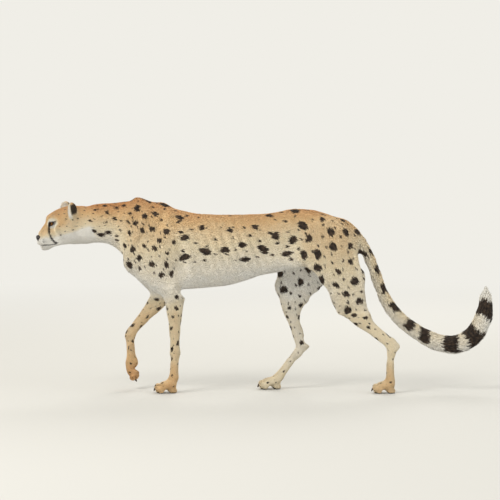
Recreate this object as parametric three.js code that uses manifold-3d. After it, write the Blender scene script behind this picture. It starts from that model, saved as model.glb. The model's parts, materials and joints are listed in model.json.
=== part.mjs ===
// A life-size cheetah, walking with its head low and its right forefoot lifted.
// Millimetres, +Z up. The head is towards -X and the animal's left side towards -Y.
//
// The body is one smooth form, made of rounded masses that melt into each other: a barrel for
// neck and trunk, tapered limbs along the bones, and ovals for the larger muscles. Each mass is
// a field, a function of x, y, z that is negative inside it. The surface is read from the joined
// field on a grid, and thin cuts part it into the animal's named pieces.
import * as THREE from "three";
import { mergeVertices } from "three/addons/utils/BufferGeometryUtils.js";
import Module from "manifold-3d";

const wasm = await Module();
wasm.setup();

// ---------- Driving dimensions ----------
const SEAM = 0.4; // gap of every cut between two pieces
const LEFT = -1; // sign of y on the animal's left
const RIGHT = 1;

const backHeight = 714; // top of the back, halfway along
const withersHeight = 794; // top of the shoulder blade that bears weight
const chestFloor = 408; // underside of the deep chest
const waistFloor = 470; // underside of the drawn-up belly
const ribHalfWidth = 92;
const waistHalfWidth = 64;
const hipHalfWidth = 70;
const neckHalfWidth = 60;

const head = {
  nape: [-506, 2, 679], // where the skull meets the neck
  pitch: 18, // degrees, nose down
  yaw: 16, // degrees, nose turned to the animal's left
};
// Places on the head are measured forward and up from the nape, along the head itself.
const eye = { forward: 131, side: 33, up: 44, radius: 17 };
const nose = { forward: 204, up: 4, radii: [13, 18, 12], tilt: 12 };
const ear = { forward: 50, side: 54, up: 68, height: 38, width: 31, depth: 20, wall: 4 };

const sink = 3; // how far the pads would reach below the floor, before it presses them flat
const claw = { length: 13, radius: 3.2 };

// Joints of each leg, from the body down, as [x, y, z].
const foreLeft = {
  bladeTop: [-290, -40, withersHeight - 24],
  shoulder: [-312, -74, 520],
  elbow: [-150, -76, 402],
  wrist: [-150, -60, 166],
  knuckle: [-154, -58, 62],
};
const foreRight = {
  bladeTop: [-196, 44, withersHeight - 50],
  shoulder: [-316, 74, 514],
  elbow: [-192, 76, 394],
  wrist: [-336, 64, 226],
  knuckle: [-330, 60, 126],
};
const hindLeft = {
  hip: [476, -56, 612],
  knee: [520, -82, 362],
  hock: [708, -70, 190],
  heel: [738, -70, 196],
  ball: [708, -66, 50],
};
const hindRight = {
  hip: [476, 56, 612],
  knee: [294, 82, 414],
  hock: [352, 74, 168],
  heel: [384, 73, 160],
  ball: [268, 70, 52],
};

// ---------- Small vector helpers ----------
const degrees = THREE.MathUtils.degToRad;
const mix = (a, b, t) => a + (b - a) * t;
const between = (a, b, t) => a.map((v, i) => mix(v, b[i], t));
const moved = (p, dx, dy, dz) => [p[0] + dx, p[1] + dy, p[2] + dz];

/** A curve through the points (xs, ys) that is smooth and doesn't overshoot between them. */
function smoothCurve(xs, ys) {
  const slope = xs.map((_, i) => {
    if (i === 0 || i === xs.length - 1) return 0;
    const before = (ys[i] - ys[i - 1]) / (xs[i] - xs[i - 1]);
    const after = (ys[i + 1] - ys[i]) / (xs[i + 1] - xs[i]);
    return before * after <= 0 ? 0 : (2 * before * after) / (before + after);
  });
  return (x) => {
    if (x <= xs[0]) return ys[0];
    if (x >= xs[xs.length - 1]) return ys[ys.length - 1];
    let i = 0;
    while (x > xs[i + 1]) i++;
    const width = xs[i + 1] - xs[i];
    const t = (x - xs[i]) / width;
    const s = 1 - t;
    return (
      s * s * (1 + 2 * t) * ys[i] + t * t * (3 - 2 * t) * ys[i + 1] +
      t * s * s * width * slope[i] - t * t * s * width * slope[i + 1]
    );
  };
}

// ---------- Fields ----------
const FAR = 70; // beyond this distance a mass has no say in the shape

/** Two fields joined, with a fillet about k wide where they meet. */
function melt(a, b, k) {
  const h = Math.max(k - Math.abs(a - b), 0) / k;
  return Math.min(a, b) - (h * h * k) / 4;
}

/** The join of several fields, all with the same fillet. */
const joined = (k, ...fields) => (x, y, z) => {
  let d = fields[0](x, y, z);
  for (let i = 1; i < fields.length; i++) d = melt(d, fields[i](x, y, z), k);
  return d;
};

/** A field that is only worked out near its own box, from low to high. */
const near = (low, high, field) => (x, y, z) => {
  const dx = Math.max(low[0] - x, 0, x - high[0]);
  const dy = Math.max(low[1] - y, 0, y - high[1]);
  const dz = Math.max(low[2] - z, 0, z - high[2]);
  const away = Math.hypot(dx, dy, dz);
  return away > FAR ? away : field(x, y, z);
};

/** An oval mass. radii are along its own axes, which turn (degrees about x, y, z) points. */
function oval(at, radii, turn = [0, 0, 0]) {
  const spin = new THREE.Matrix4().makeRotationFromEuler(new THREE.Euler(...turn.map(degrees), "ZYX"));
  const e = spin.invert().elements;
  const [a, b, c] = radii;
  return (x, y, z) => {
    const px = x - at[0], py = y - at[1], pz = z - at[2];
    const u = (e[0] * px + e[4] * py + e[8] * pz) / a;
    const v = (e[1] * px + e[5] * py + e[9] * pz) / b;
    const w = (e[2] * px + e[6] * py + e[10] * pz) / c;
    const size = Math.hypot(u, v, w);
    const steep = Math.hypot(u / a, v / b, w / c);
    return steep < 1e-9 ? -Math.min(a, b, c) : (size * (size - 1)) / steep;
  };
}

/** A limb along stations { at, deep, wide }: deep is its radius fore and aft, wide from side to side. */
function limb(stations, across = [0, 1, 0], smoothing = 5) {
  const points = stations.map((s) => new THREE.Vector3(...s.at));
  const centre = new THREE.CatmullRomCurve3(points, false, "centripetal");
  const last = stations.length - 1;
  const size = (key, t) => {
    const i = Math.min(Math.floor(t * last), last - 1);
    const f = t * last - i;
    return mix(stations[i][key], stations[i + 1][key], f * f * (3 - 2 * f));
  };
  const side = new THREE.Vector3(...across);
  const parts = [];
  const steps = last * smoothing;
  for (let i = 0; i < steps; i++) {
    const t0 = i / steps, t1 = (i + 1) / steps;
    const a = centre.getPoint(t0), b = centre.getPoint(t1);
    const along = b.clone().sub(a);
    const lateral = side.clone().addScaledVector(along, -side.dot(along) / along.lengthSq()).normalize();
    const fore = new THREE.Vector3().crossVectors(along, lateral).normalize();
    parts.push({
      a, along, lateral, fore,
      inverse: 1 / along.lengthSq(),
      deep: [size("deep", t0), size("deep", t1)],
      wide: [size("wide", t0), size("wide", t1)],
    });
  }
  const reach = Math.max(...stations.map((s) => Math.max(s.deep, s.wide)));
  const low = [0, 1, 2].map((i) => Math.min(...stations.map((s) => s.at[i])) - reach);
  const high = [0, 1, 2].map((i) => Math.max(...stations.map((s) => s.at[i])) + reach);
  return near(low, high, (x, y, z) => {
    let best = Infinity;
    for (const p of parts) {
      const dx = x - p.a.x, dy = y - p.a.y, dz = z - p.a.z;
      const t = Math.min(Math.max((dx * p.along.x + dy * p.along.y + dz * p.along.z) * p.inverse, 0), 1);
      const ox = dx - t * p.along.x, oy = dy - t * p.along.y, oz = dz - t * p.along.z;
      const deep = mix(p.deep[0], p.deep[1], t), wide = mix(p.wide[0], p.wide[1], t);
      const sideways = ox * p.lateral.x + oy * p.lateral.y + oz * p.lateral.z;
      const total = Math.hypot(ox, oy, oz);
      const rest = Math.max(total * total - sideways * sideways, 0);
      const q = Math.sqrt((sideways * sideways) / (wide * wide) + rest / (deep * deep));
      const d = q < 1e-6 ? -Math.min(deep, wide) : total - total / q;
      if (d < best) best = d;
    }
    return best;
  });
}

/** The barrel of neck and trunk: an egg-shaped section at each x, from its top, floor and half width. */
function barrel(stations) {
  const xs = stations.map((s) => s.x);
  const top = smoothCurve(xs, stations.map((s) => s.top));
  const floor = smoothCurve(xs, stations.map((s) => s.floor));
  const half = smoothCurve(xs, stations.map((s) => s.half));
  const waist = smoothCurve(xs, stations.map((s) => s.widest));
  const first = xs[0], end = xs[xs.length - 1];
  return (x, y, z) => {
    const beyond = Math.max(first - x, x - end, 0);
    const t = top(x), f = floor(x);
    const middle = mix(f, t, waist(x));
    const up = z - middle;
    const tall = up > 0 ? t - middle : middle - f;
    const q = Math.hypot(y / half(x), up / tall);
    const total = Math.hypot(y, up);
    const d = q < 1e-6 ? -Math.min(half(x), tall) : total - total / q;
    return beyond > 0 ? Math.hypot(Math.max(d, 0), beyond) : d;
  };
}

/** A field given in a frame of its own, placed in the body by that frame's matrix. */
function placed(frame, low, high, field) {
  const e = frame.clone().invert().elements;
  const inner = near(low, high, field);
  return (x, y, z) =>
    inner(
      e[0] * x + e[4] * y + e[8] * z + e[12],
      e[1] * x + e[5] * y + e[9] * z + e[13],
      e[2] * x + e[6] * y + e[10] * z + e[14],
    );
}

/** A frame at a point, its first axis forward, its second to the animal's left and its third up. */
function frameAt(at, forward, up) {
  const f = new THREE.Vector3(...forward).normalize();
  const left = new THREE.Vector3(...up).cross(f).normalize();
  const top = new THREE.Vector3().crossVectors(f, left);
  return new THREE.Matrix4().makeBasis(f, left, top).setPosition(...at);
}

// ---------- Neck and trunk ----------
const trunkField = barrel([
  { x: -550, top: 732, floor: 604, half: 44, widest: 0.5 },
  { x: -500, top: 750, floor: 594, half: neckHalfWidth - 3, widest: 0.5 },
  { x: -440, top: 757, floor: 594, half: neckHalfWidth, widest: 0.5 },
  { x: -380, top: 760, floor: 566, half: neckHalfWidth + 6, widest: 0.5 },
  { x: -335, top: 768, floor: 508, half: 74, widest: 0.5 },
  { x: -290, top: 772, floor: 452, half: 80, widest: 0.52 },
  { x: -225, top: 760, floor: chestFloor + 11, half: 84, widest: 0.54 },
  { x: -150, top: 736, floor: chestFloor, half: ribHalfWidth - 3, widest: 0.55 },
  { x: -50, top: backHeight + 2, floor: chestFloor + 4, half: ribHalfWidth, widest: 0.55 },
  { x: 50, top: backHeight - 1, floor: chestFloor + 12, half: ribHalfWidth - 4, widest: 0.54 },
  { x: 130, top: backHeight, floor: waistFloor - 28, half: ribHalfWidth - 13, widest: 0.53 },
  { x: 200, top: backHeight + 3, floor: waistFloor - 6, half: waistHalfWidth + 4, widest: 0.52 },
  { x: 265, top: backHeight + 12, floor: waistFloor + 6, half: waistHalfWidth, widest: 0.52 },
  { x: 330, top: backHeight + 22, floor: waistFloor + 26, half: hipHalfWidth - 2, widest: 0.56 },
  { x: 400, top: backHeight + 17, floor: 520, half: hipHalfWidth, widest: 0.6 },
  { x: 470, top: backHeight - 4, floor: 530, half: hipHalfWidth - 6, widest: 0.6 },
  { x: 530, top: backHeight - 36, floor: 540, half: 48, widest: 0.6 },
  { x: 572, top: backHeight - 76, floor: 556, half: 28, widest: 0.5 },
  { x: 592, top: 604, floor: 580, half: 8, widest: 0.5 },
]);

// ---------- Legs ----------
/** Shoulder blade, upper arm and forearm of a foreleg, down to the foot's knuckle. */
function foreleg(j, side) {
  const blade = limb([
    { at: j.bladeTop, deep: 27, wide: 20 },
    { at: between(j.bladeTop, j.shoulder, 0.35), deep: 44, wide: 25 },
    { at: moved(j.shoulder, 10, 0, 26), deep: 52, wide: 30 },
  ]);
  const upperArm = limb([
    { at: moved(j.shoulder, 6, 0, 0), deep: 50, wide: 31 },
    { at: between(j.shoulder, j.elbow, 0.55), deep: 50, wide: 32 },
    { at: j.elbow, deep: 38, wide: 28 },
  ]);
  const armBack = moved(between(j.bladeTop, j.elbow, 0.62), 10, side * 14, 0);
  const triceps = oval(armBack, [46, 27, 104], [0, 14, 0]);
  const elbowPoint = oval(moved(j.elbow, 24, 0, 2), [15, 12, 17], [0, 30, 0]);
  const forearm = limb([
    { at: j.elbow, deep: 38, wide: 29 },
    { at: between(j.elbow, j.wrist, 0.22), deep: 37, wide: 28 },
    { at: between(j.elbow, j.wrist, 0.6), deep: 26, wide: 21 },
    { at: between(j.elbow, j.wrist, 0.86), deep: 21, wide: 19 },
    { at: j.wrist, deep: 21.5, wide: 22 },
    { at: between(j.wrist, j.knuckle, 0.5), deep: 17.5, wide: 20.5 },
    { at: j.knuckle, deep: 18, wide: 24 },
  ]);
  const wristPad = oval(moved(between(j.wrist, j.knuckle, 0.12), 16, 0, 0), [9, 10, 13]);
  return joined(26, joined(34, blade, upperArm, triceps), joined(14, forearm, elbowPoint, wristPad));
}

/** Thigh, shank and long foot of a hind leg, down to the ball of the foot. */
function hindleg(j, side) {
  const seat = [548, side * 40, 592];
  const calf = between(j.knee, j.hock, 0.36);
  const thigh = limb([
    { at: moved(j.hip, 4, 0, 12), deep: 76, wide: 40 },
    { at: between(j.hip, j.knee, 0.5), deep: 70, wide: 39 },
    { at: j.knee, deep: 40, wide: 31 },
  ]);
  const hamstring = limb([
    { at: seat, deep: 34, wide: 26 },
    { at: moved(between(seat, calf, 0.5), 6, side * 8, 0), deep: 40, wide: 30 },
    { at: moved(calf, 12, 0, 8), deep: 26, wide: 22 },
  ]);
  const shank = limb([
    { at: j.knee, deep: 42, wide: 31 },
    { at: between(j.knee, j.hock, 0.3), deep: 37, wide: 28 },
    { at: between(j.knee, j.hock, 0.7), deep: 22, wide: 20 },
    { at: j.hock, deep: 21, wide: 18.5 },
    { at: between(j.hock, j.ball, 0.45), deep: 16.5, wide: 18 },
    { at: j.ball, deep: 17, wide: 23 },
  ]);
  const tendon = limb([
    { at: between(calf, j.heel, 0.35), deep: 15, wide: 13 },
    { at: between(calf, j.heel, 0.75), deep: 10, wide: 9 },
    { at: j.heel, deep: 13, wide: 12 },
    { at: between(j.heel, j.ball, 0.35), deep: 10, wide: 10 },
  ]);
  const kneecap = oval(moved(j.knee, -22, 0, 4), [18, 17, 28], [0, -20, 0]);
  const foldStart = [mix(200, j.knee[0], 0.2), side * 40, waistFloor + 56];
  const foldEnd = moved(j.knee, -4, 0, 46);
  const flank = limb([
    { at: foldStart, deep: 34, wide: 15 },
    { at: moved(between(foldStart, foldEnd, 0.5), 10, 0, 54), deep: 60, wide: 20 },
    { at: foldEnd, deep: 32, wide: 20 },
  ]);
  return joined(30, joined(26, thigh, hamstring, flank), joined(12, shank, tendon, kneecap));
}

// ---------- Feet ----------
/** The frame of a foot: its origin under the ball, the toes forward and the instep up. */
const planted = (ball, turn) => {
  const swing = degrees(turn);
  return frameAt([ball[0], ball[1], 0], [-Math.cos(swing), -Math.sin(swing), 0], [0, 0, 1]);
};

const toeSides = [-1, -0.36, 0.36, 1]; // places of the four toes across a foot
const toePad = [14, 10, 10];
const heelPad = [20, 23, 12];

/** Places of one toe's joints in the frame of its foot. */
function toe(place, width, long) {
  const middle = 1 - Math.abs(place);
  const reach = mix(long - 11, long, middle / 0.64);
  return {
    root: [-8, place * width * 0.72, 34],
    bend: [reach - 32, place * width * 0.98, 31 + middle * 3],
    tip: [reach - 14, place * width, 17],
    pad: [reach - 16, place * width, toePad[2] - sink],
  };
}

/** One foot in its own frame: the instep, four toes with their pads, and the large pad behind. */
function footField({ width, long, ankle }) {
  const toes = toeSides.map((place) => {
    const t = toe(place, width, long);
    const finger = limb([
      { at: t.root, deep: 15, wide: 11 },
      { at: t.bend, deep: 14, wide: 11.5 },
      { at: t.tip, deep: 13, wide: 11.5 },
    ], [0, 1, 0], 3);
    return joined(6, finger, oval(t.pad, toePad));
  });
  const instep = limb([
    { at: ankle, deep: 18, wide: 23 },
    { at: between(ankle, [10, 0, 28], 0.55), deep: 18, wide: 26 },
    { at: [10, 0, 28], deep: 16, wide: 24 },
  ], [0, 1, 0], 4);
  return joined(9, joined(4.5, ...toes), instep, oval([-8, 0, heelPad[2] - sink], heelPad));
}

const forePaw = { width: 23, long: 64 };
const hindPaw = { width: 20.5, long: 66 };
const hanging = frameAt([-304, foreRight.knuckle[1], 104], [0.1, -0.02, -0.99], [-0.99, 0, -0.1]);
const stand = (joint, ahead, turn, paw) => {
  return { frame: planted(moved(joint, -ahead, 0, 0), turn), joint, ...paw };
};
const feet = {
  left_forepaw: stand(foreLeft.knuckle, 12, -3, forePaw),
  right_forepaw: { frame: hanging, joint: foreRight.knuckle, ...forePaw },
  left_hind_paw: stand(hindLeft.ball, 4, -4, hindPaw),
  right_hind_paw: stand(hindRight.ball, 18, 3, hindPaw),
};
const footFields = {};
for (const [name, foot] of Object.entries(feet)) {
  foot.ankle = new THREE.Vector3(...foot.joint).applyMatrix4(foot.frame.clone().invert()).toArray();
  footFields[name] = placed(foot.frame, [-60, -50, -sink], [80, 50, 80], footField(foot));
}

// ---------- Tail ----------
const tailStations = [
  { at: [520, 0, 664], deep: 34, wide: 32 },
  { at: [566, 0, 632], deep: 29, wide: 28 },
  { at: [606, 0, 576], deep: 26, wide: 25 },
  { at: [640, 0, 504], deep: 25.5, wide: 25 },
  { at: [668, 0, 424], deep: 27, wide: 26 },
  { at: [704, 0, 348], deep: 29, wide: 28 },
  { at: [756, 0, 286], deep: 31, wide: 30 },
  { at: [826, 0, 234], deep: 34, wide: 33 },
  { at: [904, 0, 196], deep: 38, wide: 37 },
  { at: [984, 0, 190], deep: 41, wide: 40 },
  { at: [1050, 0, 230], deep: 42, wide: 41 },
  { at: [1086, 0, 302], deep: 39, wide: 38 },
  { at: [1092, 0, 366], deep: 32, wide: 31 },
  { at: [1090, 0, 404], deep: 20, wide: 19 },
];
const tailField = limb(tailStations, [0, 1, 0], 4);

// ---------- Head ----------
const pitch = degrees(head.pitch);
const yaw = degrees(head.yaw);
const headFrame = frameAt(
  head.nape,
  [-Math.cos(pitch) * Math.cos(yaw), -Math.cos(pitch) * Math.sin(yaw), -Math.sin(pitch)],
  [0, 0, 1],
);

/** The head in its own frame: x runs from the nape to the nose, y to the left, z up from the nose's level. */
function headField() {
  const both = (make) => [make(1), make(-1)];
  const skull = oval([74, 0, 36], [78, 59, 52], [0, 4, 0]);
  const forehead = oval([112, 0, 50], [36, 38, 27], [0, 20, 0]);
  const cheeks = both((s) => oval([86, s * 38, 0], [48, 27, 40], [0, 0, s * 12]));
  const jaw = both((s) => limb([
    { at: [72, s * 36, -26], deep: 30, wide: 20 },
    { at: [120, s * 28, -32], deep: 20, wide: 16 },
    { at: [176, s * 12, -37], deep: 14, wide: 15 },
  ]));
  const bridge = limb([
    { at: [118, 0, 44], deep: 23, wide: 30 },
    { at: [150, 0, 33], deep: 19, wide: 21 },
    { at: [178, 0, 18], deep: 16, wide: 17 },
    { at: [199, 0, 4], deep: 13, wide: 15 },
  ]);
  const muzzle = limb([
    { at: [120, 0, 0], deep: 34, wide: 46 },
    { at: [152, 0, -5], deep: 29, wide: 38 },
    { at: [180, 0, -9], deep: 23, wide: 33 },
    { at: [192, 0, -11], deep: 18, wide: 27 },
  ]);
  const whiskerPads = both((s) => oval([183, s * 19, -13], [25, 19, 19], [0, 6, s * -8]));
  const chin = oval([183, 0, -40], [21, 19, 15], [0, -14, 0]);
  const brows = both((s) => oval([133, s * 31, 63], [22, 15, 10], [0, 20, s * 16]));
  const cheekbones = both((s) => oval([112, s * 49, 22], [34, 13, 16], [0, 10, s * 24]));
  const throat = limb([
    { at: [110, 0, -36], deep: 22, wide: 26 },
    { at: [50, 0, -40], deep: 30, wide: 34 },
    { at: [0, 0, -34], deep: 36, wide: 40 },
  ]);
  const earRoots = both((s) => oval([50, s * 44, 58], [24, 20, 26], [s * -20, 0, 0]));
  const mass = joined(
    14,
    joined(20, skull, forehead, ...cheeks, throat),
    joined(12, bridge, muzzle, ...whiskerPads),
    joined(12, ...jaw, chin),
    ...cheekbones,
    ...brows,
    ...earRoots,
  );
  const hollowAt = (s) => [eye.forward + 15, s * (eye.side + 10), eye.up - 2];
  const hollows = both((s) => oval(hollowAt(s), [17, 13, 12], [0, 0, s * 38]));
  return (x, y, z) => {
    let d = mass(x, y, z);
    for (const hollow of hollows) d = -melt(-d, hollow(x, y, z), 8);
    return d;
  };
}
const headLow = [-10, -90, -80];
const headHigh = [220, 90, 130];
const skullField = placed(headFrame, headLow, headHigh, headField());

// ---------- The whole body ----------
const legFields = [
  foreleg(foreLeft, LEFT),
  foreleg(foreRight, RIGHT),
  hindleg(hindLeft, LEFT),
  hindleg(hindRight, RIGHT),
];
const body = (x, y, z) => {
  let d = trunkField(x, y, z);
  for (const leg of legFields) d = melt(d, leg(x, y, z), 36);
  d = melt(d, skullField(x, y, z), 30);
  d = melt(d, tailField(x, y, z), 22);
  for (const name in footFields) d = melt(d, footFields[name](x, y, z), 10);
  return d;
};

// ---------- From field to solid ----------
const SHORT = 0.7; // edges shorter than this share of a grid cell are drawn into one corner

/** Even steps from low to high, about cell apart. */
function steps(low, high, cell) {
  const n = Math.round((high - low) / cell);
  return Array.from({ length: n + 1 }, (_, i) => mix(low, high, i / n));
}

/**
 * Turns the weakest value of any grid square whose corners are in and out by turns, because the
 * surface would pinch there.
 */
function unpinch(value, stride, count) {
  for (let changes = 1; changes > 0; ) {
    changes = 0;
    for (let n = 0; n < value.length; n++) {
      const place = stride.map((s, axis) => Math.floor(n / s) % count[axis]);
      for (let axis = 0; axis < 3; axis++) {
        const [a, b] = [(axis + 1) % 3, (axis + 2) % 3];
        if (place[a] > count[a] - 2 || place[b] > count[b] - 2) continue;
        const square = [n, n + stride[a], n + stride[a] + stride[b], n + stride[b]];
        const sign = square.map((v) => value[v] < 0);
        if (sign[0] !== sign[2] || sign[1] !== sign[3] || sign[0] === sign[1]) continue;
        const weaker = (p, q) => (Math.abs(value[p]) < Math.abs(value[q]) ? p : q);
        const weakest = square.reduce(weaker);
        value[weakest] = value[weakest] < 0 ? 0.01 : -0.01;
        changes++;
      }
    }
  }
}

/** The closed surface of a field, read on a grid of its frame, with a corner in each cell it crosses. */
function surface(field, xs, ys, zs, frame = new THREE.Matrix4()) {
  const m = frame.elements;
  const world = (u, v, w) => [
    m[0] * u + m[4] * v + m[8] * w + m[12],
    m[1] * u + m[5] * v + m[9] * w + m[13],
    m[2] * u + m[6] * v + m[10] * w + m[14],
  ];
  const [nx, ny, nz] = [xs.length, ys.length, zs.length];
  const at = (i, j, k) => (k * ny + j) * nx + i;
  const edge = (i, n) => i === 0 || i === n - 1;
  const value = new Float64Array(nx * ny * nz);
  const closed = new Uint8Array(value.length); // 1 where the grid's own wall closes the body
  for (let k = 0; k < nz; k++)
    for (let j = 0; j < ny; j++)
      for (let i = 0; i < nx; i++) {
        const d = field(...world(xs[i], ys[j], zs[k]));
        const wall = edge(i, nx) || edge(j, ny) || edge(k, nz);
        closed[at(i, j, k)] = wall && d < 1 ? 1 : 0;
        value[at(i, j, k)] = wall ? Math.max(d, 1) : d || 1e-6;
      }
  unpinch(value, [1, nx, nx * ny], [nx, ny, nz]);
  const corner = new Int32Array(value.length).fill(-1);
  const places = [];
  const pinned = new Set();
  for (let k = 0; k < nz - 1; k++)
    for (let j = 0; j < ny - 1; j++)
      for (let i = 0; i < nx - 1; i++) {
        const found = crossing(i, j, k);
        if (!found) continue;
        corner[at(i, j, k)] = places.length / 3;
        places.push(...found);
      }

  function crossing(i, j, k) {
    const sum = [0, 0, 0];
    let hits = 0;
    let walled = false;
    for (let axis = 0; axis < 3; axis++)
      for (let side = 0; side < 4; side++) {
        const a = [i, j, k];
        a[(axis + 1) % 3] += side & 1;
        a[(axis + 2) % 3] += side >> 1;
        const b = [...a];
        b[axis] += 1;
        const va = value[at(...a)], vb = value[at(...b)];
        walled ||= closed[at(...a)] + closed[at(...b)] > 0;
        if (va < 0 === vb < 0) continue;
        const t = va / (va - vb);
        sum[0] += mix(xs[a[0]], xs[b[0]], t);
        sum[1] += mix(ys[a[1]], ys[b[1]], t);
        sum[2] += mix(zs[a[2]], zs[b[2]], t);
        hits++;
      }
    if (!hits) return null;
    const start = sum.map((s) => s / hits);
    if (walled) pinned.add(places.length / 3);
    const low = [xs[i], ys[j], zs[k]], high = [xs[i + 1], ys[j + 1], zs[k + 1]];
    return world(...(walled ? start : settled(start, low, high)));
  }

  /** A corner moved onto the surface, but kept inside its own cell, from low to high. */
  function settled(start, low, high) {
    let p = start;
    for (let round = 0; round < 3; round++)
      p = ontoField((...q) => field(...world(...q)), p, Infinity).map((v, n) => {
        const margin = (high[n] - low[n]) * 0.04;
        return THREE.MathUtils.clamp(v, low[n] + margin, high[n] - margin);
      });
    return p;
  }

  const faces = [];
  const quad = (a, b, c, d, flip) => {
    const gap = (p, q) => Math.hypot(...[0, 1, 2].map((n) => places[3 * p + n] - places[3 * q + n]));
    const ring = flip ? [a, d, c, b] : [a, b, c, d];
    const [p, q, r, t] = gap(ring[0], ring[2]) <= gap(ring[1], ring[3]) ? ring : [...ring.slice(1), ring[0]];
    faces.push(p, q, r, p, r, t);
  };
  for (let k = 0; k < nz - 1; k++)
    for (let j = 0; j < ny - 1; j++)
      for (let i = 0; i < nx - 1; i++) {
        const solid = value[at(i, j, k)] < 0;
        const differs = (di, dj, dk) => solid !== value[at(i + di, j + dj, k + dk)] < 0;
        const c = (di, dj, dk) => corner[at(i - di, j - dj, k - dk)];
        if (j && k && differs(1, 0, 0)) quad(c(0, 1, 1), c(0, 0, 1), c(0, 0, 0), c(0, 1, 0), !solid);
        if (i && k && differs(0, 1, 0)) quad(c(1, 0, 1), c(1, 0, 0), c(0, 0, 0), c(0, 0, 1), !solid);
        if (i && j && differs(0, 0, 1)) quad(c(1, 1, 0), c(0, 1, 0), c(0, 0, 0), c(1, 0, 0), !solid);
      }
  const cell = Math.min(xs[1] - xs[0], ys[1] - ys[0], zs[1] - zs[0]);
  const kept = withoutShortEdges(places, faces, cell * SHORT);
  relax(field, places, kept, pinned, cell);
  return new wasm.Manifold(new wasm.Mesh({
    numProp: 3,
    vertProperties: new Float32Array(places),
    triVerts: new Uint32Array(kept),
  }));
}

/**
 * Evens out the corners of a surface: each moves towards the middle of its neighbours and back
 * onto the field.
 */
function relax(field, places, faces, pinned, cell) {
  const at = (v) => [places[3 * v], places[3 * v + 1], places[3 * v + 2]];
  const neighbours = new Map();
  faces.forEach((a, i) => {
    if (!neighbours.has(a)) neighbours.set(a, new Set());
    neighbours.get(a).add(faces[i - (i % 3) + ((i + 1) % 3)]);
  });
  for (let round = 0; round < 4; round++) {
    const next = [];
    for (const [v, around] of neighbours) {
      if (pinned.has(v)) continue;
      const middle = [0, 0, 0];
      for (const n of around) at(n).forEach((v, axis) => { middle[axis] += v / around.size; });
      const start = at(v);
      const p = ontoField(field, ontoField(field, between(start, middle, 0.5), cell * 0.5), cell * 0.5);
      if (Math.hypot(...p.map((c, n) => c - start[n])) < cell * 0.6) next.push([v, p]);
    }
    for (const [v, p] of next) places.splice(3 * v, 3, ...p);
  }
}

/** A point moved along the field's slope to where the field is zero, at most by limit. */
function ontoField(field, p, limit) {
  const h = 0.5;
  const d = field(...p);
  const slope = [0, 1, 2].map((n) => {
    const [ahead, behind] = [h, -h].map((s) => field(...p.map((v, m) => (m === n ? v + s : v))));
    return (ahead - behind) / (2 * h);
  });
  const steep = Math.hypot(...slope);
  const step = THREE.MathUtils.clamp(d / Math.max(steep, 0.4), -limit, limit);
  return p.map((v, n) => v - (step * slope[n]) / Math.max(steep, 0.4));
}

/** A closed three.js geometry as a solid. */
function solidOf(geometry) {
  const bare = geometry.clone();
  bare.deleteAttribute("normal");
  bare.deleteAttribute("uv");
  const merged = mergeVertices(bare, 1e-4);
  return new wasm.Manifold(new wasm.Mesh({
    numProp: 3,
    vertProperties: merged.getAttribute("position").array,
    triVerts: new Uint32Array(merged.index.array),
  }));
}

/** A solid's faces as a three.js geometry, without the slivers that cuts leave. */
function geometryOf(solid) {
  const mesh = solid.getMesh();
  const places = new Float32Array(mesh.numVert * 3);
  for (let i = 0; i < mesh.numVert; i++)
    places.set(mesh.vertProperties.subarray(i * mesh.numProp, i * mesh.numProp + 3), i * 3);
  const geometry = new THREE.BufferGeometry()
    .setAttribute("position", new THREE.BufferAttribute(places, 3))
    .setIndex(withoutShortEdges(places, Array.from(mesh.triVerts), 0.05));
  geometry.computeVertexNormals();
  return geometry;
}

/** The faces left when edges shorter than limit are drawn into one corner, where the body stays closed. */
function withoutShortEdges(places, faces, limit) {
  const length = (a, b) => Math.hypot(...[0, 1, 2].map((n) => places[3 * a + n] - places[3 * b + n]));
  for (;;) {
    const neighbours = new Map();
    const short = [];
    for (let i = 0; i < faces.length; i++) {
      const a = faces[i], b = faces[i - (i % 3) + ((i + 1) % 3)];
      if (!neighbours.has(a)) neighbours.set(a, new Set());
      neighbours.get(a).add(b);
      if (a < b && length(a, b) < limit) short.push([a, b]);
    }
    const touched = new Set();
    const becomes = new Map();
    for (const [a, b] of short) {
      const around = [...neighbours.get(a), ...neighbours.get(b)];
      const shared = [...neighbours.get(a)].filter((n) => neighbours.get(b).has(n));
      if (shared.length !== 2 || around.some((n) => touched.has(n))) continue;
      around.forEach((n) => touched.add(n));
      becomes.set(b, a);
    }
    if (!becomes.size) return faces;
    const kept = [];
    for (let i = 0; i < faces.length; i += 3) {
      const [a, b, c] = faces.slice(i, i + 3).map((v) => becomes.get(v) ?? v);
      if (a !== b && b !== c && c !== a) kept.push(a, b, c);
    }
    faces = kept;
  }
}

/** An oval solid to cut with or to keep, in a frame. */
function ovalSolid(frame, at, radii, turn = [0, 0, 0], sides = 24) {
  const ball = new THREE.SphereGeometry(1, sides, Math.round(sides * 0.6));
  ball.applyMatrix4(new THREE.Matrix4().compose(
    new THREE.Vector3(...at),
    new THREE.Quaternion().setFromEuler(new THREE.Euler(...turn.map(degrees), "ZYX")),
    new THREE.Vector3(...radii),
  ));
  ball.applyMatrix4(frame);
  return solidOf(ball);
}

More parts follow.
